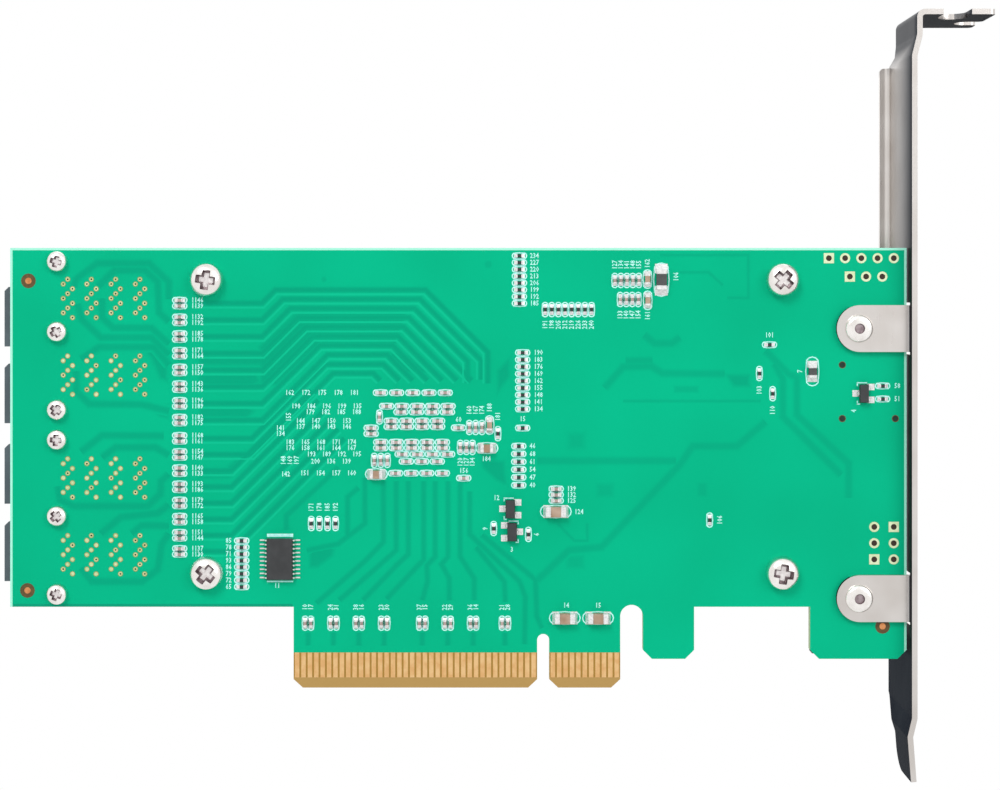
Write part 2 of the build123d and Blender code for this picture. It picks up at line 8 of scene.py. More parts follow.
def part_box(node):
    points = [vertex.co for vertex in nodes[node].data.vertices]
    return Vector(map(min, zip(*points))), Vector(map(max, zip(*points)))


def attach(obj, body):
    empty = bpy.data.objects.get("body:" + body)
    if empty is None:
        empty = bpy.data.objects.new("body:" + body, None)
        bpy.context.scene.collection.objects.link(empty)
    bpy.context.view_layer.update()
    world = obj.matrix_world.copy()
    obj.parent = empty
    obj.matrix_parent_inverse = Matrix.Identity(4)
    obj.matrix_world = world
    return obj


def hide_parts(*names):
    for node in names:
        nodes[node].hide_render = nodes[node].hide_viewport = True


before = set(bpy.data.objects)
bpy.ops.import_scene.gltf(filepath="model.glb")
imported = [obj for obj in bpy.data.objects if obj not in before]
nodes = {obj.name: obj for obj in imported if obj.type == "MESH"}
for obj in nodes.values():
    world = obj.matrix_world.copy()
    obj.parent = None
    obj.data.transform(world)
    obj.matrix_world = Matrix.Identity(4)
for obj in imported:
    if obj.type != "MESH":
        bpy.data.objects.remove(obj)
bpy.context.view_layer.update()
mm = 0.001
boardLow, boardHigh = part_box("circuit_board")
solderFace = boardLow.y / mm
componentFace = boardHigh.y / mm
printLift = 0.025  # how far printed and plated films stand off the solder mask, in mm
print("frame loaded")


# Camera: on the photograph's line of sight, looking square at the solder side

cameraSettings = {"x": -6.76, "z": 63.1, "distance": 306.0, "lens": 70.4, "shiftDown": -0.11, "clip": (0.01, 20)}


def placeCamera():
    s = cameraSettings
    data = bpy.data.cameras.new("camera")
    data.lens = s["lens"]
    data.shift_y = s["shiftDown"]
    data.clip_start, data.clip_end = s["clip"]
    cam = bpy.data.objects.new("camera", data)
    bpy.context.collection.objects.link(cam)
    cam.location = (s["x"] * mm, (solderFace - s["distance"]) * mm, s["z"] * mm)
    cam.rotation_euler = (math.radians(90), 0, 0)
    bpy.context.scene.camera = cam


# Materials

def toLinear(hexCode):
    parts = [int(hexCode[i:i + 2], 16) / 255 for i in (0, 2, 4)]
    return [c / 12.92 if c <= 0.04045 else ((c + 0.055) / 1.055) ** 2.4 for c in parts] + [1.0]


def link(owner, source, socket):
    owner.node_tree.links.new(source, socket)


def addNode(owner, kind, settings=None, links=None):
    node = owner.node_tree.nodes.new("ShaderNode" + kind)
    for name, value in (settings or {}).items():
        if isinstance(name, int) or name in node.inputs:
            node.inputs[name].default_value = value
        else:
            setattr(node, name, value)
    for name, source in (links or {}).items():
        link(owner, source, node.inputs[name])
    return node


def newMaterial(name, **sockets):
    material = bpy.data.materials.new(name)
    material.use_nodes = True
    shader = material.node_tree.nodes["Principled BSDF"]
    for socket, value in sockets.items():
        shader.inputs[socket.replace("_", " ")].default_value = value
    return material, shader


def surfaceNoise(material, spacing, detail, stretch=(1, 1, 1)):
    # noise that is fixed to the piece, spacing in mm; stretch is how long it runs each way
    place = addNode(material, "TexCoord")
    turn = addNode(material, "Mapping", {"Scale": stretch}, {"Vector": place.outputs["Object"]})
    noise = addNode(material, "TexNoise", {"Scale": 1 / (spacing * mm), "Detail": detail},
                    {"Vector": turn.outputs["Vector"]})
    return noise.outputs["Fac"]


def bumped(material, shader, noise, strength, height):
    bump = addNode(material, "Bump", {"Strength": strength, "Distance": height * mm}, {"Height": noise})
    link(material, bump.outputs["Normal"], shader.inputs["Normal"])


def mottled(material, shader, hexA, hexB, spacing, detail=2.0, low=0.35, high=0.65):
    # two close tones of one colour
    ramp = addNode(material, "ValToRGB", None, {"Fac": surfaceNoise(material, spacing, detail)})
    for stop, position, tone in zip(ramp.color_ramp.elements, (low, high), (hexA, hexB)):
        stop.position = position
        stop.color = toLinear(tone)
    link(material, ramp.outputs["Color"], shader.inputs["Base Color"])
    return ramp.outputs["Color"]


def grained(material, shader, spacing, stretch, height, roughLow, roughHigh, detail=3.0, strength=0.6):
    # grain of the surface, as height in mm and as roughness
    noise = surfaceNoise(material, spacing, detail, stretch)
    bumped(material, shader, noise, strength, height)
    rough = addNode(material, "MapRange", {"To Min": roughLow, "To Max": roughHigh}, {"Value": noise})
    link(material, rough.outputs["Result"], shader.inputs["Roughness"])


def placeAndNormal(material, kind="True Normal"):
    # the point on the piece, and the direction that its face looks, each split into X, Y and Z
    sources = (addNode(material, "TexCoord").outputs["Object"],
               addNode(material, "NewGeometry").outputs[kind])
    return [addNode(material, "SeparateXYZ", None, {"Vector": source}).outputs for source in sources]


def combined(material, operation, first, *others):
    # masks put together: MULTIPLY where all of them hold, MAXIMUM where any one does
    for mask in others:
        first = addNode(material, "Math", {"operation": operation}, {0: first, 1: mask}).outputs[0]
    return first


def region(material, *tests):
    # a mask that is 1 where each test of (value, comparison, limit) holds
    masks = [addNode(material, "Math", {"operation": comparison, 1: limit}, {0: value}).outputs[0]
             for value, comparison, limit in tests]
    return combined(material, "MULTIPLY", *masks)


def painted(material, under, colour, mask):
    return addNode(material, "Mix", {"data_type": "RGBA", 7: colour}, {0: mask, 6: under}).outputs[2]


# Solder mask over copper on glass-fibre laminate: an even satin green, paler where the copper stops
maskSettings = {
    "green": "00B788", "greenDeep": "00AF81", "openGreen": "009A76", "highlightGreen": "16CB9D",
    "edgeStrip": "A6F0D8", "laminate": "A9C08C", "lowerEdgeShade": "0A9A76", "bevel": "B8955A", "fingerGap": "A5813F",
    "stripWidth": 0.36, "fingerTop": 5.6, "bevelTop": 1.72, "fingerEnd": 14.0,
    "lowerEdge": 12.75, "lowerEdgeShadeWidth": 0.45, "lowerEdgeShadeEnd": -39.2,
    "mottle": (18.0, 1.0, 0.3, 0.7), "wave": (2.2, 2.0), "waveStrength": 0.25, "waveHeight": 0.03, "cutEdge": 0.5,
}


def newMask(name):
    s = maskSettings
    material, shader = newMaterial(name, Roughness=0.36, IOR=1.5, Specular_IOR_Level=0.06)
    return material, shader, mottled(material, shader, s["greenDeep"], s["green"], *s["mottle"])


def makeMaskOverTraces(name, shade):
    # the same mask where a trace or a gap in the copper lies behind it, or lit by a painted highlight: the tone grows
    # over the piece's own attribute "depth", from nothing at a band's edge to all of it along its middle
    material, shader, green = newMask(name)
    depth = addNode(material, "Attribute", {"attribute_name": "depth"})
    colour = painted(material, green, toLinear(maskSettings[shade]), depth.outputs["Fac"])
    link(material, colour, shader.inputs["Base Color"])
    return material


def makeBoardMaterial():
    s = maskSettings
    material, shader, colour = newMask("solderMaskOnLaminate")
    place, normal = placeAndNormal(material, "Normal")
    x, z = place["X"], place["Z"]
    strip = s["stripWidth"] * mm
    across = addNode(material, "Math", {"operation": "ABSOLUTE"}, {0: normal["Y"]}).outputs[0]
    # only the connector's own width is bare down there: the tab and the foot keep their mask
    connector = (x, "LESS_THAN", s["fingerEnd"] * mm)
    layers = {
        "fingerGap": region(material, (z, "LESS_THAN", s["fingerTop"] * mm), connector),
        "bevel": region(material, (z, "LESS_THAN", s["bevelTop"] * mm), connector),
        # painted shade: a darker line along the lower edge
        "lowerEdgeShade": region(material, (z, "LESS_THAN", (s["lowerEdge"] + s["lowerEdgeShadeWidth"]) * mm),
                            (x, "LESS_THAN", s["lowerEdgeShadeEnd"] * mm)),
        "edgeStrip": combined(material, "MAXIMUM", region(material, (x, "LESS_THAN", boardLow.x + strip)),
                              region(material, (x, "GREATER_THAN", boardHigh.x - strip)),
                              region(material, (z, "GREATER_THAN", boardHigh.z - strip))),
        "laminate": region(material, (across, "LESS_THAN", s["cutEdge"])),
    }
    for tone, mask in layers.items():
        colour = painted(material, colour, toLinear(s[tone]), mask)
    link(material, colour, shader.inputs["Base Color"])
    # the mask lies unevenly over the copper, by a few hundredths of a millimetre
    bumped(material, shader, surfaceNoise(material, *s["wave"]), s["waveStrength"], s["waveHeight"])
    return material


# Bright nickel on rolled sheet steel; painted shade darkens the inner side, most at the foot, the neck and under the
# lip
bracketSettings = {
    "steelDark": "CBC5C0", "steelLight": "D5D0CC", "mottle": 7.0, "paintedShade": "38424C", "grazingPaintedShade": "34383E",
    "grain": (0.25, (1, 1, 0.08), 0.006, 0.24, 0.36), "footTop": 8.0, "neckLow": 97.0, "neckHigh": 101.0,
    "far": 13.5, "near": -3.5, "lipLow": 100.0, "facing": -0.4,
    "footShade": 0.84, "neckShade": 0.72, "nearShade": 0.85, "lipShade": 0.92,
}


def makeBracketMaterial():
    s = bracketSettings
    material, shader = newMaterial("nickelPlatedBracket", Metallic=1.0, Roughness=0.3)
    steel = mottled(material, shader, s["steelDark"], s["steelLight"], s["mottle"])
    grained(material, shader, *s["grain"])
    place, normal = placeAndNormal(material)
    # painted shade for dark surroundings reflected in the inner face: darkest at the foot, at the neck and towards
    # the near edge
    shades = []
    for axis, start, end, low, high in (("Z", s["footTop"], 2 * s["footTop"], s["footShade"], 0.0),
                                        ("Z", s["neckLow"], s["neckHigh"], 0.0, s["neckShade"]),
                                        ("Y", s["far"], s["near"], 0.0, s["nearShade"])):
        fade = addNode(material, "MapRange", {"From Min": start * mm, "From Max": end * mm,
                                              "To Min": low, "To Max": high}, {"Value": place[axis]})
        shades.append(fade.outputs["Result"])
    inside = region(material, (normal["X"], "LESS_THAN", s["facing"]))
    inner = combined(material, "MULTIPLY", combined(material, "MAXIMUM", *shades), inside)
    # painted shade under the lip
    lip = region(material, (normal["Z"], "LESS_THAN", s["facing"]), (place["Z"], "GREATER_THAN", s["lipLow"] * mm))
    under = addNode(material, "Math", {"operation": "MULTIPLY", 1: s["lipShade"]}, {0: lip})
    paintedShade = combined(material, "MAXIMUM", inner, under.outputs[0])
    colour = painted(material, steel, toLinear(s["paintedShade"]), paintedShade)
    link(material, colour, shader.inputs["Base Color"])
    # painted shade in the reflection too: seen along the sheet, the shaded places stay dark as well
    reflectionShade = addNode(material, "Mix", {"data_type": "RGBA", 6: toLinear("FFFFFF"), 7: toLinear(s["grazingPaintedShade"])},
                   {0: paintedShade})
    link(material, reflectionShade.outputs[2], shader.inputs["Specular Tint"])
    return material


# Black moulded polymer, with the gold edges of the contacts along the beams in the port's mouth
waferSettings = {"mouth": -73.0, "beamEdge": 0.5, "polymer": ("17191A", "212324", 2.0), "contact": "E0B070"}


def makeWaferMaterial():
    s = waferSettings
    material, shader = newMaterial("polymerWithGoldContacts", Roughness=0.42, IOR=1.55)
    polymer = mottled(material, shader, *s["polymer"])
    place, normal = placeAndNormal(material)
    side = addNode(material, "Math", {"operation": "ABSOLUTE"}, {0: normal["Z"]}).outputs[0]
    beam = region(material, (place["X"], "LESS_THAN", s["mouth"] * mm), (side, "LESS_THAN", s["beamEdge"]))
    link(material, painted(material, polymer, toLinear(s["contact"]), beam), shader.inputs["Base Color"])
    shine = addNode(material, "MapRange", {"To Min": 0.0, "To Max": 1.0}, {"Value": beam})
    link(material, shine.outputs["Result"], shader.inputs["Metallic"])
    return material


evenly = (1, 1, 1)
finishes = {
    # name, sockets, two tones and their spacing in mm, and grain: spacing, stretch, height, roughness from and to

    # screen-printed epoxy ink: white but thin, so the mask below tints it aqua; matt
    "ink": ("printedInk", dict(Roughness=0.55, IOR=1.5), ("A4F3EA", "C6FFF8", 0.5), None),
    # reflowed solder: nearly white, lumpy
    "solder": ("reflowedSolder", dict(Metallic=0.5, Roughness=0.32), ("D3D3D4", "F1F0EF", 0.3),
               (0.25, evenly, 0.02, 0.25, 0.42)),
    # gold flash on nickel: soft yellow metal
    "gold": ("goldPlating", dict(Metallic=1.0, Roughness=0.3), ("E2B176", "EDC48C", 1.2),
             (0.12, (1, 1, 0.15), 0.004, 0.24, 0.38)),
    # nickel-plated machine screws and rivets: bright, with a warm cast
    "screw": ("nickelPlatedScrew", dict(Metallic=1.0, Roughness=0.2), ("E8E3DE", "F6F3EF", 1.5),
              (0.35, evenly, 0.01, 0.16, 0.28)),
    # painted shade on the pressed walls of a recess: the same nickel, made brownish and dark
    "recess": ("nickelWithPaintedShade", dict(Metallic=1.0, Roughness=0.45), ("86767A", "A5979A", 0.6),
               (0.2, evenly, 0.01, 0.38, 0.52)),
    # the floor of a recess: satin grey nickel
    "recessFloor": ("nickelRecessFloor", dict(Metallic=1.0, Roughness=0.38), ("D9D2D1", "F0ECEA", 0.5),
                    (0.2, evenly, 0.01, 0.32, 0.46)),
    # gold flash with a film of solder: pale cream
    "paleGold": ("goldUnderSolderFilm", dict(Metallic=0.6, Roughness=0.4), ("CFDCAE", "DDE7C2", 0.6),
                 (0.2, evenly, 0.006, 0.34, 0.48)),
    # extruded aluminium, drawn lines along the fins
    "aluminium": ("extrudedAluminium", dict(Metallic=1.0, Roughness=0.5, Specular_Tint=toLinear("6E7174")),
                  ("A4A7AA", "B4B7BA", 9.0), (0.3, (0.03, 1, 1), 0.012, 0.42, 0.58)),
    # glass-filled nylon, fine spark-eroded texture
    "nylon": ("glassFilledNylon", dict(Roughness=0.55, IOR=1.52), ("4C5A62", "56646C", 4.0),
              (0.2, evenly, 0.012, 0.48, 0.62)),
    # filled epoxy moulding: near black, fine matt
    "epoxy": ("mouldedEpoxy", dict(Roughness=0.6, IOR=1.55), ("232527", "2D2F31", 1.5),
              (0.1, evenly, 0.008, 0.5, 0.66)),
    # matt tin on copper leads
    "tin": ("tinPlatedLead", dict(Metallic=1.0, Roughness=0.36), ("D2D3D2", "E2E2E0", 0.5),
            (0.12, evenly, 0.006, 0.3, 0.44)),
    # sintered dielectric of chip capacitors, tan with a pinkish cast, and a greyer batch of it
    "dielectric": ("sinteredDielectric", dict(Roughness=0.5, IOR=1.6), ("9A7B62", "B9A08C", 2.4), None),
    "smallDielectric": ("greySinteredDielectric", dict(Roughness=0.5, IOR=1.6), ("93807C", "B39D97", 1.6), None),
    # glazed resistor film: black, slightly glossy
    "resistorFilm": ("glazedResistorFilm", dict(Roughness=0.35, IOR=1.55), ("15171A", "202327", 0.8), None),
    # sintered ferrite: dark grey, dull
    "ferrite": ("sinteredFerrite", dict(Roughness=0.6, IOR=1.7), ("2B2C2D", "38393A", 0.6),
                (0.12, evenly, 0.01, 0.5, 0.66)),
    # silicone gap filler: blue-grey, soft and dull
    "gapFiller": ("siliconeGapFiller", dict(Roughness=0.7, IOR=1.42), ("84929B", "8F9CA4", 1.5), None),
    # package substrate: dark green mask on laminate
    "substrate": ("packageSubstrate", dict(Roughness=0.4, IOR=1.5), ("175A3A", "1D6442", 2.0), None),
    # nickel-plated copper lid and can: satin
    "lid": ("nickelPlatedLid", dict(Metallic=1.0, Roughness=0.34), ("BDBDBA", "CACAC6", 3.0),
            (0.2, (0.1, 1, 1), 0.006, 0.28, 0.42)),
    # clear resin of a light-emitting diode over its white base
    "ledResin": ("clearLedResin", dict(Roughness=0.15, IOR=1.5), ("E8F0E4", "F2F6EE", 0.6), None),
    # solder drawn up in a plated hole, and its ring: pale, with a brownish rim where the mask stops
    "filled": ("solderInHole", dict(Metallic=0.5, Roughness=0.35), ("BFD8A2", "DDE8C0", 0.7), None),
    "viaRing": ("tinnedHoleRing", dict(Metallic=0.4, Roughness=0.4), ("B4C284", "D2D8A4", 0.9), None),
    "viaRim": ("maskEdgeOverCopper", dict(Roughness=0.5, IOR=1.5), ("6F8A4C", "A08A4E", 0.9), None),
    # painted shade down the bores: dark discs, brown in a plated hole, greenish black in a plain one
    "bore": ("holeShade", dict(Roughness=0.8, IOR=1.5), ("2A1D12", "38281A", 0.4), None),
    "blackBore": ("blackHoleShade", dict(Roughness=0.8, IOR=1.5), ("0C231A", "133025", 0.4), None),
    # bare copper target and the unmasked laminate round it
    "copper": ("bareCopper", dict(Metallic=1.0, Roughness=0.35), ("C97F4E", "DD9A66", 0.5), None),
    "laminate": ("unmaskedLaminate", dict(Roughness=0.6, IOR=1.5), ("4F3B17", "5E481F", 0.5), None),
}


def makeMaterials():
    made = {"board": makeBoardMaterial(), "sheet": makeBracketMaterial(), "waferPolymer": makeWaferMaterial(),
            "traceBand": makeMaskOverTraces("maskOverTraces", "openGreen"),
            "traceHighlight": makeMaskOverTraces("maskWithPaintedHighlight", "highlightGreen")}
    for key, (name, sockets, tones, grain) in finishes.items():
        made[key], shader = newMaterial(name, **sockets)
        mottled(made[key], shader, *tones)
        if grain:
            grained(made[key], shader, *grain)
    return made


# Modelling helpers

def selectNone():
    bpy.ops.object.select_all(action="DESELECT")


def makeActive(piece):
    selectNone()
    piece.select_set(True)
    bpy.context.view_layer.objects.active = piece


def applyAll(piece):
    makeActive(piece)
    bpy.ops.object.transform_apply(location=True, rotation=True, scale=True)


def applyModifier(piece, kind, **settings):
    makeActive(piece)
    modifier = piece.modifiers.new(kind.lower(), kind)
    for name, value in settings.items():
        setattr(modifier, name, value)
    bpy.ops.object.modifier_apply(modifier=modifier.name)


def startEdit(piece):
    makeActive(piece)
    bpy.ops.object.mode_set(mode="EDIT")
    bpy.ops.mesh.select_all(action="SELECT")


def endEdit():
    bpy.ops.object.mode_set(mode="OBJECT")


def cover(data, *materials):
    data.materials.clear()
    for material in materials:
        data.materials.append(material)


def raisePiece(piece, height):
    # off the board's solder side, in mm
    piece.data.transform(Matrix.Translation((0, -height * mm, 0)))


def faceSolderSide(data):
    if data.polygons[0].normal.y > 0:
        data.flip_normals()


def addBox(name, low, high, material, bevel=0.0):
    # a block between two corners in mm, its edges broken by a bevel
    selectNone()
    middle = [(a + b) / 2 * mm for a, b in zip(low, high)]
    bpy.ops.mesh.primitive_cube_add(size=1, location=middle)
    piece = bpy.context.object
    piece.name = name
    piece.scale = [(b - a) * mm for a, b in zip(low, high)]
    applyAll(piece)
    if bevel:
        applyModifier(piece, "BEVEL", width=bevel * mm, segments=1, limit_method="NONE")
    cover(piece.data, material)
    return piece


def addDisc(name, radius, sides, material, y=0.0, fill="NGON"):
    # a flat round about the Y axis, radius and place in mm
    selectNone()
    bpy.ops.mesh.primitive_circle_add(vertices=sides, radius=radius * mm, fill_type=fill,
                                      location=(0, y * mm, 0), rotation=(math.radians(90), 0, 0))
    piece = bpy.context.object
    piece.name = name
    applyAll(piece)
    cover(piece.data, material)
    return piece


def addTurned(name, profile, material, sides=36, smoothUnder=35):
    # a round solid about the Y axis, drawn out ring by ring from points of (radius, y) in mm; edges that turn
    # by fewer degrees than smoothUnder look smooth
    piece = addDisc(name, profile[0][0], sides, material, profile[0][1])
    startEdit(piece)
    for (radius, y), (nextRadius, nextY) in zip(profile, profile[1:]):
        grow = nextRadius / radius
        bpy.ops.mesh.extrude_region_move()
        bpy.ops.transform.resize(value=(grow, 1, grow), center_override=(0, y * mm, 0))
        bpy.ops.transform.translate(value=(0, (nextY - y) * mm, 0))
    bpy.ops.mesh.select_all(action="SELECT")
    bpy.ops.mesh.normals_make_consistent(inside=False)
    endEdit()
    makeActive(piece)
    bpy.ops.object.shade_smooth_by_angle(angle=math.radians(smoothUnder))
    return piece


def joinPieces(parts, name):
    selectNone()
    for part in parts:
        part.select_set(True)
    bpy.context.view_layer.objects.active = parts[0]
    if len(parts) > 1:
        bpy.ops.object.join()
    piece = bpy.context.object
    piece.name = name
    piece.data.name = name
    return piece


def layCopies(model, places, name, seat=solderFace):
    # each copy has its own mesh, turned and moved to (x, z, turn in degrees); on the far side it is turned round
    flip = Matrix.Rotation(math.pi, 4, "Z") if seat > 0 else Matrix.Identity(4)
    copies = []
    for x, z, turn in places:
        copy = model.copy()
        copy.data = model.data.copy()
        bpy.context.collection.objects.link(copy)
        place = Matrix.Translation((x * mm, seat * mm, z * mm))
        copy.data.transform(place @ flip @ Matrix.Rotation(math.radians(turn), 4, "Y"))
        copies.append(copy)
    bpy.data.objects.remove(model)
    return joinPieces(copies, name)


def finishPiece(piece, slotName, *replaced):
    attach(piece, "root")
    if replaced:
        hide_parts(*replaced)
    return piece


def chipPlaces(name):
    # middle, turn and length of each loose solid of a node, in mm
    copy = bmesh.new()
    copy.from_mesh(nodes[name].data)
    bmesh.ops.remove_doubles(copy, verts=copy.verts, dist=1e-6)
    waiting = set(copy.verts)
    found = []
    while waiting:
        group, fringe = set(), [waiting.pop()]
        while fringe:
            vertex = fringe.pop()
            group.add(vertex)
            for edge in vertex.link_edges:
                other = edge.other_vert(vertex)
                if other in waiting:
                    waiting.discard(other)
                    fringe.append(other)
        xs = [v.co.x / mm for v in group]
        zs = [v.co.z / mm for v in group]
        width, height = max(xs) - min(xs), max(zs) - min(zs)
        turn = 0 if width > height else 90
        found.append(((max(xs) + min(xs)) / 2, (max(zs) + min(zs)) / 2, turn, max(width, height)))
    copy.free()
    return sorted(found)


# Traces under the mask, as routes of (x, z) in mm

traceSettings = {
    "width": 1.3, "softWidth": 1.75, "thinWidth": 0.7, "highlightWidth": 0.5, "highlightOffset": 0.72,
    "lift": 0.008, "highlightLift": 0.0104, "stack": 0.00015, "fieldLift": 0.003, "fieldStack": 0.0003,
    "fanDepth": 0.78, "receptacleDepth": 0.62, "connectorDepth": 0.6, "powerDepth": 0.5, "thinDepth": 0.4,
    "fieldDepth": 0.62, "faintDepth": 0.36, "highlightDepth": 0.34,
    "fieldBorder": 0.75, "squareBorder": 0.3, "spotBorder": 0.5, "spotStep": 24, "stubTop": 8.7, "stubEnd": 6.7,
    # across a ribbon: share of its width, and share of its lift
    "section": ((-0.5, 0.0), (-0.36, 0.3), (-0.22, 0.8), (-0.08, 1.0), (0.08, 1.0), (0.22, 0.8), (0.36, 0.3),
                (0.5, 0.0)),
}
# from the coupling capacitors over the top of the controller's field: an upper and a lower set
fanSettings = {
    "count": 8, "capX": -54.2, "clusterTop": 48.2,
    "bendX": -44.0, "upperZ": 60.27, "upperStep": -2.614, "plateauZ": 62.35, "plateauStep": -1.45,
    "rightX": -18.4, "rightStep": -0.86, "falls": ((9.75, 4.9), (9.6, 3.0), (8.3, 3.4)),
    "lowerZ": 39.11, "lowerStep": -2.527, "lowerBendX": -48.8, "lowerTop": 46.6, "lowerTopStep": -1.5,
    "firstTops": (50.7, 49.3), "firstRights": (-25.0, -26.6), "firstShift": 3.2,
}


def fanRoutes():
    s = fanSettings
    routes = []
    for i in range(s["count"]):
        capZ = s["upperZ"] + i * s["upperStep"]
        plateau = s["plateauZ"] + i * s["plateauStep"]
        right = s["rightX"] + i * s["rightStep"]
        route = [(s["capX"], capZ), (s["bendX"], capZ), (s["bendX"] + plateau - capZ, plateau), (right, plateau)]
        if i < len(s["falls"]):
            fall, foot = s["falls"][i]
            route += [(right + fall, plateau - fall), (right + fall, plateau - fall - foot)]
        else:
            route.append((right + plateau - s["clusterTop"], s["clusterTop"]))
        routes.append(route)
    first = len(s["firstTops"])
    for i in range(s["count"]):
        capZ = s["lowerZ"] + i * s["lowerStep"]
        top = s["firstTops"][i] if i < first else s["lowerTop"] + s["lowerTopStep"] * (i - first)
        bend = s["lowerBendX"] + (s["firstShift"] if i < first else 0)
        route = [(s["capX"], capZ), (bend, capZ), (bend + top - capZ, top)]
        if i < first:
            right = s["firstRights"][i]
            route += [(right, top), (right + top - s["clusterTop"], s["clusterTop"])]
        routes.append(route)
    return routes


receptacleRoutes = [
    [(-73.4, 62.8), (-73.1, 64.0), (-69.8, 66.5), (-61.7, 66.5), (-58.6, 63.6), (-58.6, 60.9)],
    [(-69.6, 62.9), (-67.1, 65.4), (-62.3, 65.4), (-60.3, 63.6), (-60.1, 58.8), (-58.6, 57.4)],
    [(-72.9, 60.1), (-72.1, 57.6), (-69.2, 54.9), (-61.3, 54.9), (-58.6, 52.2)],
    [(-69.0, 61.0), (-69.0, 58.0), (-67.3, 56.4), (-61.3, 56.4), (-58.6, 53.9)],
    [(-72.3, 51.5), (-69.5, 53.4), (-60.9, 53.4), (-58.6, 50.6)],
    [(-73.1, 49.6), (-73.0, 46.4), (-71.0, 44.5), (-62.8, 44.4), (-58.6, 43.4)],
    [(-72.3, 37.0), (-69.0, 39.6), (-59.4, 39.5)],
    [(-69.0, 36.1), (-66.9, 37.7), (-60.7, 37.7), (-58.6, 36.5)],
    [(-76.0, 31.6), (-75.6, 29.5), (-73.5, 28.5), (-61.9, 28.5), (-59.9, 30.4), (-59.8, 32.4), (-58.6, 33.5)],
    [(-69.2, 24.2), (-66.1, 26.8), (-60.3, 27.4), (-58.6, 28.7)],
    [(-64.4, 24.2), (-62.8, 25.5), (-58.6, 25.4)],
    [(-72.3, 18.8), (-70.6, 16.7), (-62.8, 16.7), (-60.3, 18.6), (-59.7, 22.5), (-58.6, 24.2)],
]
connectorRoutes = [
    [(-25.0, 32.4), (-25.0, 22.9), (-27.7, 20.1), (-35.5, 13.3)],
    [(-23.0, 32.4), (-23.0, 21.6), (-25.7, 19.2), (-31.9, 13.8)],
    [(-21.1, 32.4), (-21.1, 21.0), (-22.8, 19.4), (-28.2, 13.8)],
    [(-18.7, 32.4), (-18.7, 20.1), (-19.4, 19.4), (-24.5, 14.0)],
    [(-16.9, 32.4), (-16.9, 20.6), (-18.2, 19.2), (-18.1, 16.7), (-18.9, 13.8)],
    [(-14.9, 32.4), (-14.9, 20.6), (-15.9, 19.4), (-14.7, 17.2), (-14.7, 13.8)],
    [(-13.0, 32.4), (-13.0, 20.6), (-10.8, 17.2), (-10.8, 13.8)],
    [(-10.5, 22.1), (-6.1, 16.7), (-5.9, 13.5)],
    [(-11.5, 30.8), (-11.5, 24.1), (-3.7, 16.7), (-2.8, 14.3), (-2.9, 6.9)],
    [(-9.6, 24.0), (-1.2, 17.0), (-1.0, 11.3), (-0.2, 9.4)],
    [(-30.6, 23.6), (-30.6, 29.9), (-28.9, 31.4)],
    [(-27.9, 32.9), (-27.9, 25.8), (-32.1, 22.6), (-37.0, 21.6)],
    [(-40.2, 24.8), (-40.2, 27.0), (-34.1, 32.6), (-32.1, 34.6)],
]
powerRoutes = [
    [(-0.95, 16.9), (4.0, 21.6), (9.1, 22.1), (21.4, 35.0), (23.4, 37.9), (30.3, 37.9), (34.8, 41.7)],
    [(-0.9, 35.6), (20.8, 35.6)],
    [(9.6, 47.0), (12.5, 50.3), (16.9, 50.4), (18.7, 49.3), (28.4, 49.2)],
    [(12.9, 51.2), (17.1, 51.3)],
    [(15.8, 55.3), (17.4, 54.0), (20.1, 54.0), (21.4, 54.9)],
    [(34.8, 52.8), (38.4, 49.2), (39.7, 48.6), (39.7, 42.8), (47.8, 35.2), (47.8, 29.8)],
    [(36.2, 50.8), (37.5, 48.4), (37.5, 42.5), (46.6, 33.4)],
]
thinRoutes = [
    [(12.5, 44.95), (34.0, 44.95)],
    [(18.3, 67.8), (32.1, 67.8), (32.1, 61.1), (28.8, 61.1)],
    [(21.4, 65.1), (25.9, 65.1), (28.1, 63.1)],
    [(2.2, 25.8), (4.9, 23.1), (6.9, 23.1), (6.9, 25.8)],
]
# short ends of traces above the edge contacts
contactStubs = (-36.79, -32.82, -28.85, -24.88, -18.92, -14.94, -10.96, -5.99)
# areas with no copper pour behind the mask, as outlines of (x, z) in mm
openFields = [
    [(-66.9, 56.5), (-61.0, 56.5), (-58.5, 53.8), (-58.5, 47.6), (-60.2, 48.2), (-61.6, 51.4), (-63.2, 53.2),
     (-66.9, 53.4)],
    [(-63.0, 44.6), (-58.4, 44.6), (-58.4, 41.8), (-60.2, 42.3)],
    [(-54.2, 52.6), (-44.2, 52.6), (-43.2, 50.9), (-44.0, 50.2), (-54.2, 50.2)],
    [(-54.2, 49.6), (-44.6, 49.6), (-44.0, 47.9), (-45.2, 47.0), (-54.2, 47.0)],
    [(-54.2, 44.5), (-46.4, 44.5), (-44.6, 43.4), (-46.2, 42.0), (-54.2, 42.0)],
    [(-44.8, 53.6), (-38.6, 59.3), (-20.6, 59.3), (-22.8, 53.5), (-34.6, 53.5), (-41.6, 47.0), (-44.6, 47.4)],
    [(-22.6, 53.4), (-16.4, 49.0), (-22.4, 49.0), (-25.6, 52.0)],
    [(-54.2, 34.8), (-49.8, 34.8), (-46.6, 37.6), (-45.4, 36.6), (-49.0, 32.6), (-54.2, 32.6)],
    [(-36.9, 22.6), (-32.2, 22.6), (-32.6, 20.6), (-35.2, 18.6), (-36.9, 18.6)],
    [(-7.4, 45.2), (-7.5, 49.8), (-5.0, 52.4), (-4.9, 48.6), (-6.4, 46.8)],
    [(-10.2, 36.2), (-5.8, 35.8), (-5.4, 31.4), (-7.4, 32.2), (-9.8, 34.4)],
    [(28.0, 49.4), (32.6, 49.4), (32.6, 46.9), (29.6, 46.9)],
]
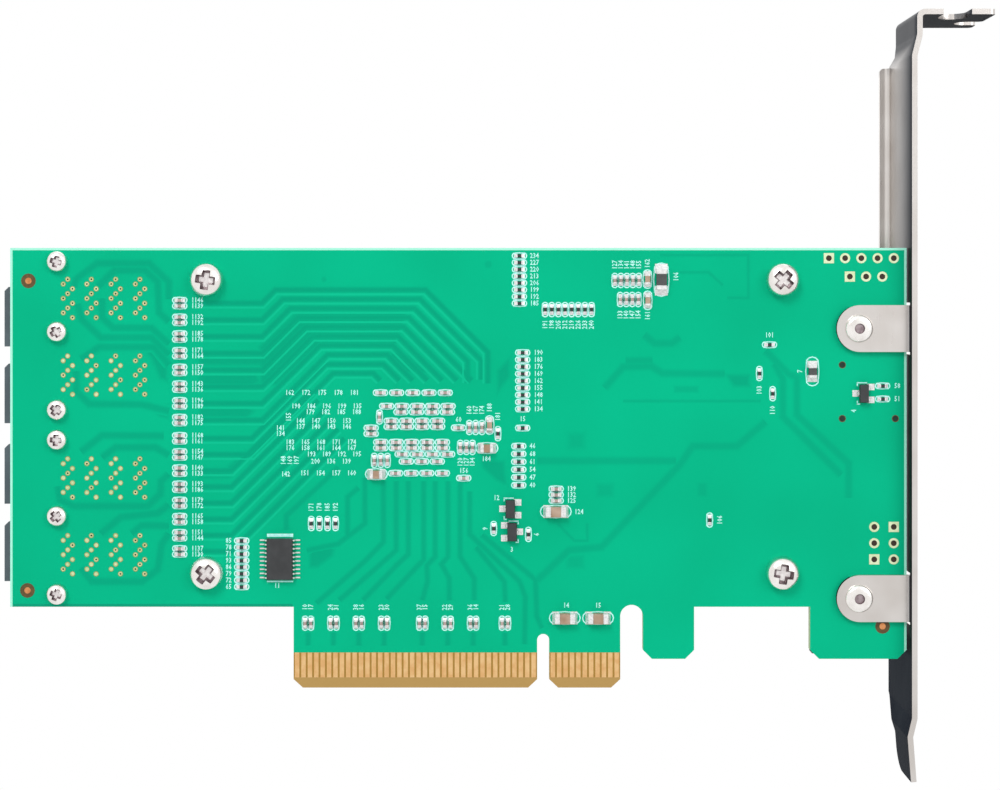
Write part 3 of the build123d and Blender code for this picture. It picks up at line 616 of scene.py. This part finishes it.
# squares of pads that show faintly from the far side: x, z, width, height
faintSquares = [(5.2, 38.7, 3.4, 3.3), (9.7, 31.0, 3.3, 2.7), (5.0, 19.8, 3.4, 2.7), (24.9, 31.1, 1.9, 2.5),
                (22.4, 46.8, 4.2, 1.4)]
faintSpots = [(-8.6, 66.35, 0.75), (-34.3, 64.0, 0.55)]


def setDepth(piece, level, lift):
    # how much of the shade each point shows: all of it at full lift, none down at the board's face
    layer = piece.data.attributes.new("depth", "FLOAT", "POINT")
    for vertex, value in zip(piece.data.vertices, layer.data):
        value.value = level * min(max((solderFace * mm - vertex.co.y) / (lift * mm), 0), 1)


def addLine(name, points):
    data = bpy.data.curves.new(name, "CURVE")
    data.dimensions = "2D"
    spline = data.splines.new("POLY")
    spline.points.add(len(points) - 1)
    for point, (a, b) in zip(spline.points, points):
        point.co = (a * mm, b * mm, 0, 1)
    line = bpy.data.objects.new(name, data)
    bpy.context.collection.objects.link(line)
    return line


def layRibbons(routes, width, offset, lift, material, name, first=0):
    # flat ribbons with a low rounded ridge, drawn in a plane and then stood up against the board;
    # each lies a hair higher than the last, counted from the first, so that none flickers where two cross
    s = traceSettings
    section = addLine("section", [(offset + across * width, height * lift) for across, height in s["section"]])
    stand = Matrix.Translation((0, solderFace * mm, 0)) @ Matrix.Rotation(math.radians(90), 4, "X")
    ribbons = []
    for i, (route, level) in enumerate(routes):
        ribbon = addLine("route", route)
        ribbon.data.fill_mode = "NONE"
        ribbon.data.bevel_mode = "OBJECT"
        ribbon.data.bevel_object = section
        makeActive(ribbon)
        bpy.ops.object.convert(target="MESH")
        ribbon = bpy.context.object
        ribbon.data.transform(stand)
        cover(ribbon.data, material)
        setDepth(ribbon, level, lift)
        raisePiece(ribbon, s["stack"] * (first + i))
        ribbons.append(ribbon)
    bpy.data.objects.remove(section)
    piece = joinPieces(ribbons, name)
    if sum(polygon.normal.y for polygon in piece.data.polygons) > 0:
        piece.data.flip_normals()
    return finishPiece(piece, "laminate")


def layField(outline, lift, level, border, material):
    # a flat area whose shade fades out over its border; each lies a little higher than the last, so none flickers
    data = bpy.data.meshes.new("field")
    data.from_pydata([(x * mm, solderFace * mm, z * mm) for x, z in outline], [], [list(range(len(outline)))])
    data.update()
    faceSolderSide(data)
    cover(data, material)
    field = bpy.data.objects.new("field", data)
    bpy.context.collection.objects.link(field)
    startEdit(field)
    bpy.ops.mesh.inset(thickness=border * mm)
    bpy.ops.transform.translate(value=(0, -lift * mm, 0))
    endEdit()
    setDepth(field, level, lift)
    return field


def layTraces(materials):
    s = traceSettings
    band, edge = materials["traceBand"], materials["traceHighlight"]
    fan = fanRoutes()
    stubs = [[(x, s["stubTop"]), (x, s["stubEnd"])] for x in contactStubs]
    first = 0
    for name, width, groups in (
            ("traceBands", "width", ((fan, "fanDepth"), (connectorRoutes + stubs, "connectorDepth"))),
            ("softTraceBands", "softWidth", ((receptacleRoutes, "receptacleDepth"), (powerRoutes, "powerDepth"))),
            ("thinTraceBands", "thinWidth", ((thinRoutes, "thinDepth"),))):
        routes = [(route, s[depth]) for group, depth in groups for route in group]
        layRibbons(routes, s[width], 0, s["lift"], band, name, first)
        first += len(routes)
    # painted highlight: a lighter thin strip beside each fan trace
    edges = [(route, s["highlightDepth"]) for route in fan]
    layRibbons(edges, s["highlightWidth"], s["highlightOffset"], s["highlightLift"], edge, "paintedTraceHighlights")

    areas = [(outline, s["fieldDepth"], s["fieldBorder"]) for outline in openFields]
    for x, z, width, height in faintSquares:
        corners = [(x + a * width / 2, z + b * height / 2) for a, b in ((-1, -1), (1, -1), (1, 1), (-1, 1))]
        areas.append((corners, s["faintDepth"], min(width, height) * s["squareBorder"]))
    for x, z, radius in faintSpots:
        ring = [(x + radius * math.cos(math.radians(a)), z + radius * math.sin(math.radians(a)))
                for a in range(0, 360, s["spotStep"])]
        areas.append((ring, s["faintDepth"], radius * s["spotBorder"]))
    fields = [layField(outline, s["fieldLift"] + s["fieldStack"] * i, level, border, band)
              for i, (outline, level, border) in enumerate(areas)]
    finishPiece(joinPieces(fields, "openFields"), "laminate")


# Printed outlines and numbers

printSettings = {
    "line": 0.18, "digitHeight": 0.8, "capHeight": 0.73, "digitStep": 0.47, "digitWidth": 0.8, "weight": 0.022,
    # length and width of the outline round each kind of chip
    "outlines": {"small": (2.43, 1.12), "medium": (3.1, 1.55), "large": (3.6, 1.9), "long": (5.0, 2.15),
                 "smallBead": (4.7, 2.24), "longBead": (5.4, 2.6)},
    "driver": (1.6, -0.95, 11),  # the driver chip's number: right of and above its corner, and the number
    "countStep": 7, "smallSpan": 29, "bigSpan": 67,
}
markSettings = {
    "topGap": 0.42, "topHeight": 0.5, "lowGap": 0.3, "lowHeight": 0.22, "ownX": 2, "ownZ": 1.6,
    "cornerX": 1.05, "cornerZ": 1.66, "runs": ((1, 1.6), (-1, 0.5)), "line": 0.17,
    "legX": 0.96, "legZ": 1.4, "leg": 0.5,
}


def addCapsule(length, width, material, sides=12):
    # a closed printed line with round ends
    radius = width / 2
    piece = addDisc("outline", radius, sides, material)
    reach = (length / 2 - radius) * mm
    for vertex in piece.data.vertices:
        vertex.co.x += math.copysign(reach, vertex.co.x) if abs(vertex.co.x) > 1e-7 else 0
    startEdit(piece)
    bpy.ops.mesh.inset(thickness=printSettings["line"] * mm)
    bpy.ops.mesh.delete(type="FACE")
    endEdit()
    faceSolderSide(piece.data)
    raisePiece(piece, printLift)
    return piece


def addDigits(material):
    # the ten figures, each a thin flat mesh centred on its own origin
    s = printSettings
    figures = []
    for figure in "0123456789":
        selectNone()
        bpy.ops.object.text_add(rotation=(math.radians(90), 0, 0))
        text = bpy.context.object
        text.data.body = figure
        text.data.size = s["digitHeight"] / s["capHeight"] * mm
        text.data.resolution_u = 1
        text.data.offset = s["weight"] * mm
        text.data.align_x = "CENTER"
        text.data.align_y = "CENTER"
        bpy.ops.object.convert(target="MESH")
        piece = bpy.context.object
        applyAll(piece)
        piece.data.transform(Matrix.Scale(s["digitWidth"], 4, (1, 0, 0)))
        raisePiece(piece, printLift)
        faceSolderSide(piece.data)
        cover(piece.data, material)
        figures.append(piece)
    return figures


def printNumber(figures, number, x, z, turn):
    # a row of figures centred on x, z; turned ones read upwards
    text = str(number)
    place = Matrix.Translation((x * mm, solderFace * mm, z * mm)) @ Matrix.Rotation(math.radians(-turn), 4, "Y")
    copies = []
    for i, figure in enumerate(text):
        along = (i - (len(text) - 1) / 2) * printSettings["digitStep"]
        copy = figures[int(figure)].copy()
        copy.data = copy.data.copy()
        bpy.context.collection.objects.link(copy)
        copy.data.transform(place @ Matrix.Translation((along * mm, 0, 0)))
        copies.append(copy)
    return copies


# where the number of a part stands: the region the part lies in, the way to its number, and its turn
numberRules = [
    # region x low, x high, z low, z high, shift x, shift z, turn, first number
    (-58, -55, 20, 62, 2.75, 0.0, 0, 1130),
    (-48.5, -46, 15, 24, -2.05, 0.0, 0, 65),
    (-37, -32, 25, 27, 0.0, 2.55, 90, 171),
    (-38, -5, 9, 11.5, 0.0, 2.5, 90, 10),
    (-4.5, -3, 59, 69, 2.35, 0.0, 0, 185),
    (0, 8, 58, 60, 0.0, -2.35, 90, 191),
    (11, 17, 63.5, 64.5, 0.0, 2.45, 90, 127),
    (12, 17, 60, 61.5, 0.0, -2.4, 90, 133),
    (-3.6, -3, 43, 53, 2.45, 0.0, 0, 134),
    (-3.6, -3, 40, 41, 0.0, 1.4, 0, 15),
    (-4, -3.6, 31, 38.5, 2.15, 0.0, 0, 40),
    (-28, -14, 33, 47, -14.2, 0.0, None, 134),  # turned as its chip lies
    (-13.5, -12.5, 39, 41, 0.0, 1.25, 0, 60),
    (-13.5, -7, 38.6, 42, 0.0, 2.7, 90, 160),
    (-13.5, -10, 36.5, 38.6, 0.0, -2.3, 90, 120),
    (-13, -12, 32, 33.5, 0.0, 1.15, 0, 156),
    (1, 3, 29, 32, 2.4, 0.0, 0, 125),
    (-8, -7.2, 24, 26, -1.3, 0.0, 90, 9),
    (-2.6, -2, 23, 25, 1.3, 0.0, 90, 6),
    (35, 36, 53, 54.5, 0.0, 1.5, 0, 101),
    (33.5, 36.2, 45, 50, 0.0, -2.6, 90, 103),
    (25.5, 26.5, 25.5, 27, 1.6, 0.0, 90, 106),
    (52.5, 54, 45, 48, 2.3, 0.0, 0, 51),
]
# numbers of single parts, at x, z and turned: transistors, beads and the large capacitors
chipNumbers = [(-7.3, 29.8, 0, 12), (-4.9, 21.7, 0, 3), (48.6, 43.4, 90, 4), (40.2, 49.6, 90, 7),
               (20.8, 64.4, 90, 106), (5.6, 27.6, 0, 124), (3.6, 12.95, 0, 14), (8.6, 12.95, 0, 15),
               (-8.9, 35.9, 0, 184)]


def addBar(ink, x, z, width, height):
    return addBox("bar", (x - width / 2, solderFace - printLift, z - height / 2),
                  (x + width / 2, solderFace - printLift / 2, z + height / 2), ink)


def chipMarks(ink):
    # bars at the driver chip's ends, and corner marks round each transistor
    s = markSettings
    low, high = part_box("driver_chip_body")
    middle, width = (low.x + high.x) / 2 / mm, (high.x - low.x) / mm
    marks = [addBar(ink, middle, high.z / mm + s["topGap"], width, s["topHeight"]),
             addBar(ink, middle, low.z / mm - s["lowGap"], width, s["lowHeight"])]
    leads = chipPlaces("transistor_leads")
    for x, z, _, _ in chipPlaces("transistor_bodies"):
        own = [lead[0] - x for lead in leads if abs(lead[0] - x) < s["ownX"] and abs(lead[1] - z) < s["ownZ"]]
        side = -1 if sum(own) > 0 else 1
        for upper, run in s["runs"]:
            marks.append(addBar(ink, x + side * (s["cornerX"] - run / 2), z + upper * s["cornerZ"], run, s["line"]))
            marks.append(addBar(ink, x + side * s["legX"], z + upper * s["legZ"], s["line"], s["leg"]))
    return marks


def dressPrint(materials, chips):
    s = printSettings
    ink = materials["ink"]
    printed = []
    for group, (length, width) in s["outlines"].items():
        printed.append(layCopies(addCapsule(length, width, ink), [chip[:3] for chip in chips[group]], "outlines"))
    printed += chipMarks(ink)
    figures = addDigits(ink)
    low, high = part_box("driver_chip_body")
    right, up, number = s["driver"]
    printed += printNumber(figures, number, low.x / mm + right, low.z / mm + up, 0)
    for x, z, turn, number in chipNumbers:
        printed += printNumber(figures, number, x, z, turn)
    counts = {}
    for x, z, turn, _ in chips["small"] + chips["medium"] + chips["large"]:
        for rule in numberRules:
            lowX, highX, lowZ, highZ, shiftX, shiftZ, textTurn, first = rule
            if lowX <= x <= highX and lowZ <= z <= highZ:
                counts[rule] = counts.get(rule, -1) + 1
                number = first + counts[rule] * s["countStep"] % (s["smallSpan"] if first < 100 else s["bigSpan"])
                textTurn = turn if textTurn is None else textTurn
                printed += printNumber(figures, number, x + shiftX, z + shiftZ, textTurn)
                break
    for figure in figures:
        bpy.data.objects.remove(figure)
    return finishPiece(joinPieces(printed, "printedMarks"), "laminate")


# Screws with a domed head and a pressed cross, and rivets with a dimple

screwSettings = {
    # seat at y = 0, head towards -y: radii, heights and cross in mm, and how far each cross is turned
    "heatsink": {"radius": 2.62, "height": 2.2, "rim": 0.9, "crown": 0.9, "shank": 1.48, "length": 6.2,
                 "span": 3.5, "arm": 1.45, "depth": 1.1, "turns": (38, 8, 8, 40)},
    "port": {"radius": 1.62, "height": 1.35, "rim": 0.55, "crown": 0.6, "shank": 0.9, "length": 3.2,
             "span": 2.1, "arm": 0.95, "depth": 0.7, "turns": (20, 50, 5, 35, 60, 15)},
    # for both: rings of the dome, what is left of the cross's span and arm at its floor, and how far the cutter
    # stands out; then what tells the cut faces: a little room, a flat and a steep normal, and the floor's share
    "rings": 5, "floorSpan": 0.62, "floorArm": 0.5, "cutterTop": 0.3,
    "crownRoom": 0.02, "seatRoom": 0.01, "flat": 0.9, "steep": 0.75, "floorFrom": 0.8,
}
rivetSettings = {
    "radius": 2.2, "height": 0.55, "shank": 1.3, "grip": 2.46,
    "dimple": 0.8, "dimpleFloor": 0.85, "dimpleDepth": 0.3, "dimpleRoom": 0.01,
    # shares of the radius and of the height, from the tail's end and from the head's seat
    "tail": ((0.9, 1.0), (1.0, 0.6), (1.0, 0.0)), "head": ((1.0, 0.0), (0.97, 0.4), (0.86, 0.8), (0.7, 1.0)),
}


def addCross(span, arm, depth, top, material):
    # a cutter with two tapered arms, wide at the crown and narrow at its floor
    s = screwSettings
    arms = []
    for turn in (0, 90):
        block = addBox("cross", (-span / 2, top - s["cutterTop"], -arm / 2), (span / 2, top + depth, arm / 2),
                       material)
        for vertex in block.data.vertices:
            if vertex.co.y > (top + depth / 2) * mm:
                vertex.co.x *= s["floorSpan"]
                vertex.co.z *= s["floorArm"]
        block.data.transform(Matrix.Rotation(math.radians(turn), 4, "Y"))
        arms.append(block)
    applyModifier(arms[0], "BOOLEAN", operation="UNION", object=arms[1], solver="EXACT")
    bpy.data.objects.remove(arms[1])
    return arms[0]


def addScrew(name, s, materials):
    both = screwSettings
    dome = []
    for i in range(1, both["rings"] + 1):
        turn = math.radians(90 * i / both["rings"])
        dome.append((s["crown"] + (s["radius"] - s["crown"]) * math.cos(turn),
                     -s["rim"] - (s["height"] - s["rim"]) * math.sin(turn)))
    profile = [(s["shank"], s["length"]), (s["shank"], 0), (s["radius"], 0), (s["radius"], -s["rim"])] + dome
    screw = addTurned(name, profile, materials["screw"])
    cross = addCross(s["span"], s["arm"], s["depth"], -s["height"], materials["recess"])
    applyModifier(screw, "BOOLEAN", operation="DIFFERENCE", object=cross, solver="EXACT")
    bpy.data.objects.remove(cross)
    cover(screw.data, materials["screw"], materials["recess"], materials["recessFloor"])
    # the cut faces: steep ones are the recess's walls, with painted shade; flat ones deep down are its floor
    reach = (s["span"] / 2 + both["crownRoom"]) * mm
    floorTop = (-s["height"] + s["depth"] * both["floorFrom"]) * mm
    wallTop = (-s["height"] + both["crownRoom"]) * mm
    for face in screw.data.polygons:
        middle, tilt = face.center, face.normal.y
        inside = math.hypot(middle.x, middle.z) < reach and middle.y < -both["seatRoom"] * mm
        floor = tilt < -both["flat"] and middle.y > floorTop
        wall = abs(tilt) < both["steep"] and middle.y > wallTop
        face.material_index = 2 if inside and floor else 1 if inside and wall else 0
    return screw


def dressFasteners(materials):
    for kind, node in (("heatsink", "heatsink_screws"), ("port", "receptacle_screws")):
        s = screwSettings[kind]
        turned = [(x, z, turn) for (x, z, _, _), turn in zip(chipPlaces(node), s["turns"])]
        screws = layCopies(addScrew(kind + "Screw", s, materials), turned, kind + "Screws")
        finishPiece(screws, "screw_steel", node)
    s = rivetSettings
    low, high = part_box("bracket_rivets")
    radius, height = s["radius"], s["height"]
    profile = [(radius * share, s["grip"] + height * up) for share, up in s["tail"]]
    profile += [(s["shank"], s["grip"]), (s["shank"], 0)]
    profile += [(radius * share, -height * down) for share, down in s["head"]]
    profile += [(s["dimple"], -height), (s["dimple"] * s["dimpleFloor"], -height + s["dimpleDepth"])]
    rivet = addTurned("rivet", profile, materials["screw"])
    # painted shade in the rivet's dimple
    rivet.data.materials.append(materials["recess"])
    for face in rivet.data.polygons:
        middle = math.hypot(face.center.x, face.center.z) < (s["dimple"] + s["dimpleRoom"]) * mm
        face.material_index = 1 if middle and face.center.y < 0 else 0
    raisePiece(rivet, solderFace - low.y / mm - height)
    places = [(x, z, 0) for x, z, _, _ in chipPlaces("bracket_rivets")]
    finishPiece(layCopies(rivet, places, "bracketRivets"), "plated_steel", "bracket_rivets")


# Chips with plated ends, solder and pads

chipKinds = {
    # length, width, height, plated end, pad reach past the end
    "smallCapacitor": (1.0, 0.5, 0.5, 0.26, 0.32),
    "smallResistor": (1.0, 0.5, 0.35, 0.22, 0.32),
    "mediumCapacitor": (1.6, 0.8, 0.8, 0.34, 0.42),
    "largeCapacitor": (2.0, 1.25, 1.1, 0.55, 0.4),
    "longCapacitor": (3.2, 1.6, 1.3, 0.85, 0.32),
    "smallBead": (2.0, 1.25, 0.9, 0.5, 0.62),
    "longBead": (3.2, 1.6, 1.1, 0.75, 0.85),
}
chipSettings = {
    "bodyInset": 0.02, "endBevel": 0.05,
    "filletRise": 0.55, "filletSide": 0.04, "filletFoot": 0.06, "filletTopAbove": 0.05,
    "padHeight": 0.035, "padWidth": 1.24, "padLap": 0.8, "padRim": 0.03, "leadPad": (1.2, 1.0, 0.045),
    "mediumBelow": 1.8, "largeBelow": 2.5,
    # places x low, x high, z low, z high whose small chips carry a dark film, not a ceramic body
    "filmPlaces": [(-4.5, -3, 59, 69), (0, 8, 58, 60)],
}


def addChip(kind, materials, body):
    s = chipSettings
    length, width, height, end, pad = chipKinds[kind]
    solder = materials["solder"]
    half, side = length / 2, width / 2
    core = side - s["bodyInset"]
    parts = [addBox(kind, (-half + end, -height, -core), (half - end, 0, core), materials[body])]
    for way in (-1, 1):
        inner, outer = sorted((way * (half - end), way * half))
        parts.append(addBox("end", (inner, -height, -side), (outer, 0, side), solder, s["endBevel"] * width))
        inner, outer = sorted((way * half, way * (half + pad)))
        fillet = addBox("fillet", (inner, -height * s["filletRise"], -side - s["filletSide"]),
                        (outer, 0, side + s["filletSide"]), solder)
        for vertex in fillet.data.vertices:
            if abs(vertex.co.x) > (half + pad / 2) * mm and vertex.co.y < -s["filletTopAbove"] * mm:
                vertex.co.y = -s["filletFoot"] * mm
        parts.append(fillet)
        inner, outer = sorted((way * (half - end * s["padLap"]), way * (half + pad + s["padRim"])))
        reach = side * s["padWidth"]
        parts.append(addBox("pad", (inner, -s["padHeight"], -reach), (outer, 0, reach), solder))
    return joinPieces(parts, kind)


def sortChips():
    # the small chips by their body, and the others by their length
    s = chipSettings
    chips = {"capacitors": [], "resistors": chipPlaces("chip_resistors")}
    for chip in chipPlaces("chip_capacitors"):
        dark = any(a <= chip[0] <= b and c <= chip[1] <= d for a, b, c, d in s["filmPlaces"])
        chips["resistors" if dark else "capacitors"].append(chip)
    chips["small"] = chips["capacitors"] + chips["resistors"]
    others, beads = chipPlaces("large_capacitors"), chipPlaces("power_beads")
    chips["medium"] = [c for c in others if c[3] < s["mediumBelow"]]
    chips["large"] = [c for c in others if s["mediumBelow"] < c[3] < s["largeBelow"]]
    chips["long"] = [c for c in others if c[3] > s["largeBelow"]]
    chips["smallBead"] = [b for b in beads if b[3] < s["largeBelow"]]
    chips["longBead"] = [b for b in beads if b[3] > s["largeBelow"]]
    return chips


def dressChips(materials):
    chips = sortChips()
    for name, slotName, node, body, groups in (
            ("chipCapacitors", "chip_ceramic", "chip_capacitors", "smallDielectric",
             [("capacitors", "smallCapacitor")]),
            ("chipResistors", "resistor_ceramic", "chip_resistors", "resistorFilm", [("resistors", "smallResistor")]),
            ("largeCapacitors", "chip_ceramic", "large_capacitors", "dielectric",
             [("medium", "mediumCapacitor"), ("large", "largeCapacitor"), ("long", "longCapacitor")]),
            ("powerBeads", "ferrite", "power_beads", "ferrite",
             [("smallBead", "smallBead"), ("longBead", "longBead")])):
        parts = [layCopies(addChip(kind, materials, body), [chip[:3] for chip in chips[group]], kind)
                 for group, kind in groups]
        finishPiece(joinPieces(parts, name), slotName, node)

    # tinned pads under the leads of the transistors
    width, length, height = chipSettings["leadPad"]
    pads = [addBox("leadPad", (x - width / 2, solderFace - height, z - length / 2),
                   (x + width / 2, solderFace, z + length / 2), materials["solder"])
            for x, z, _, _ in chipPlaces("transistor_leads")]
    finishPiece(joinPieces(pads, "transistorPads"), "tinned_leads")
    return chips


# Plated holes under the receptacles, header pads and targets

holeSettings = {
    "ring": 0.33, "rim": 0.41, "bore": 0.14, "boreLift": 0.8, "sides": 12,  # the bore's lift is a share of the ring's
    "rows": 9, "step": 0.75, "sway": (0.0, -0.7, 0.75),
    "columns": (-74.4, -70.7, -66.9, -63.1), "tops": (64.0, 52.0, 35.9, 23.9),
}
headerSettings = {
    "pad": (0.8, 0.46), "plain": (0.56, 0.44), "target": (1.15, 0.5), "pitch": 2.54,
    "squares": [(44.7, 67.3, 0), (47.98, 64.42, 0), (54.85, 25.25, 0), (51.8, 20.17, 0)],
    "rows": ((44.7, 67.3, 5), (47.98, 64.42, 3)),  # x and z of a row's square pad, and the count of its pads
    "rounds": [(51.8, 25.25, 0), (51.8, 22.71, 0), (54.85, 22.71, 0), (54.85, 20.17, 0)],
    "plainHoles": [(46.8, 50.6, 0), (46.8, 42.2, 0), (55.1, 42.2, 0)],
    "targets": [(-80.55, 63.75, 0), (-80.7, 15.31, 0), (53.1, 9.69, 0)],
}


def addRing(name, outer, inner, material, boreMaterial=None, square=False, sides=16):
    piece = addDisc(name, inner, sides, material, fill="NOTHING")
    startEdit(piece)
    bpy.ops.mesh.extrude_region_move()
    bpy.ops.transform.resize(value=(outer / inner,) * 3)
    endEdit()
    if square:
        for vertex in piece.data.vertices:
            reach = max(abs(vertex.co.x), abs(vertex.co.z))
            if vertex.co.length > (outer + inner) / 2 * mm:
                vertex.co.x *= outer * mm / reach
                vertex.co.z *= outer * mm / reach
    startEdit(piece)
    bpy.ops.mesh.normals_make_consistent(inside=False)
    endEdit()
    faceSolderSide(piece.data)
    raisePiece(piece, printLift)
    # a dark disc of painted shade down in the hole
    if boreMaterial:
        bore = addDisc("bore", inner, sides, boreMaterial)
        faceSolderSide(bore.data)
        raisePiece(bore, printLift * holeSettings["boreLift"])
        piece = joinPieces([piece, bore], name)
    return piece


def dressHoles(materials):
    # the holes of the first group and of the last columns are open, and solder stands in most of the others
    s = holeSettings
    openPlaces, filledPlaces = [], []
    for group, top in enumerate(s["tops"]):
        for column, x in enumerate(s["columns"]):
            for i in range(s["rows"]):
                isOpen = group == 0 or column == 3 or (group + 2 * column + i) % 5 == 0
                place = (x + s["sway"][i % 3], top - i * s["step"], 0)
                (openPlaces if isOpen else filledPlaces).append(place)
    parts = []
    for places, inside in ((openPlaces, "bore"), (filledPlaces, "filled")):
        rim = addRing("tailRim", s["rim"], s["ring"], materials["viaRim"], sides=s["sides"])
        ring = addRing("tailHole", s["ring"], s["bore"], materials["viaRing"], materials[inside], sides=s["sides"])
        parts.append(layCopies(joinPieces([rim, ring], "tailHole"), places, "platedHoles"))
    finishPiece(joinPieces(parts, "platedHoles"), "gold")

    s = headerSettings
    rounds = [(x + s["pitch"] * i, z, 0) for x, z, count in s["rows"] for i in range(1, count)] + s["rounds"]
    pads = []
    for seat in (solderFace, componentFace):
        for name, places, size, metal, inside in (("squarePad", s["squares"], "pad", "paleGold", "bore"),
                                                  ("roundPad", rounds, "pad", "paleGold", "bore"),
                                                  ("plainHole", s["plainHoles"], "plain", "laminate", "blackBore")):
            model = addRing(name, *s[size], materials[metal], materials[inside], square=name == "squarePad")
            pads.append(layCopies(model, places, name + "s", seat))
    finishPiece(joinPieces(pads, "headerPads"), "gold")

    clear = addRing("targetClear", *s["target"], materials["laminate"], materials["copper"])
    finishPiece(layCopies(clear, s["targets"], "targets"), "laminate")


# Stage

stageSettings = {
    "worldLight": 0.62, "floorSize": 2.4, "floorHeight": -0.42, "floorColour": "F4F4F2",
    "lamps": [
        # name, place, target, size, power in watts
        ("keyLamp", (-0.35, -0.75, 0.75), (0, 0, 0.04), 0.5, 5.0),
        ("fillLamp", (0.6, -0.7, 0.35), (0, 0, 0.04), 0.6, 2.2),
        ("backLamp", (0.1, 0.8, 0.6), (0, 0, 0.04), 1.4, 2.5),
    ],
}


def seenDirectly(owner):
    # 1 for camera, transmission and glossy rays, 0 for the light that falls on the card
    path = addNode(owner, "LightPath").outputs
    return combined(owner, "MAXIMUM", path["Is Camera Ray"], path["Is Transmission Ray"], path["Is Glossy Ray"])


def buildStage():
    s = stageSettings
    bpy.context.scene.view_settings.view_transform = "Standard"
    world = bpy.data.worlds.new("studio")
    bpy.context.scene.world = world
    world.use_nodes = True
    background = world.node_tree.nodes["Background"]
    background.inputs["Color"].default_value = (1, 1, 1, 1)
    level = addNode(world, "MapRange", {"To Min": s["worldLight"], "To Max": 1.0},
                    {"Value": seenDirectly(world)})
    link(world, level.outputs["Result"], background.inputs["Strength"])
    for name, place, target, size, power in s["lamps"]:
        data = bpy.data.lights.new(name, "AREA")
        data.shape = "DISK"
        data.size = size
        data.energy = power
        lamp = bpy.data.objects.new(name, data)
        bpy.context.collection.objects.link(lamp)
        lamp.location = place
        lamp.rotation_euler = (Vector(target) - Vector(place)).to_track_quat("-Z", "Y").to_euler()


def layFloor():
    # a plain pale floor, well below the card and out of the photograph's view; seen directly it is as white
    # as the world
    s = stageSettings
    bpy.ops.mesh.primitive_plane_add(size=s["floorSize"], location=(0, 0, s["floorHeight"]))
    floor = bpy.context.object
    floor.name = "floor"
    material, shader = newMaterial("paleFloor", Roughness=0.8, Base_Color=toLinear(s["floorColour"]))
    white = addNode(material, "Emission")
    mix = addNode(material, "MixShader", None,
                  {0: seenDirectly(material), 1: shader.outputs[0], 2: white.outputs[0]})
    link(material, mix.outputs[0], material.node_tree.nodes["Material Output"].inputs["Surface"])
    floor.data.materials.append(material)


# Build everything

materials = makeMaterials()
plainNodes = {
    "board": ["circuit_board"], "gold": ["solder_side_contacts", "component_side_contacts"], "sheet": ["bracket"],
    "aluminium": ["heatsink"], "gapFiller": ["thermal_pad"], "substrate": ["controller_substrate"],
    "lid": ["controller_lid", "oscillator"], "nylon": ["upper_receptacle_housing", "lower_receptacle_housing"],
    "waferPolymer": ["port_1_contact_wafers", "port_2_contact_wafers", "port_3_contact_wafers",
                     "port_4_contact_wafers"],
    "epoxy": ["driver_chip_body", "transistor_bodies", "flash_chip_body", "regulators", "storage_capacitors"],
    "tin": ["driver_chip_leads", "transistor_leads", "flash_chip_leads"], "ferrite": ["power_inductors"],
    "dielectric": ["component_side_capacitors"], "ledResin": ["status_leds"],
}
for material, names in plainNodes.items():
    for name in names:
        cover(nodes[name].data, materials[material])
placeCamera()
buildStage()
layFloor()
print("materials, camera, light and floor ready")
layTraces(materials)
print("traces laid")
chips = dressChips(materials)
print("chips dressed")
dressPrint(materials, chips)
print("print laid")
dressHoles(materials)
print("holes dressed")
dressFasteners(materials)
print("screws and rivets turned")
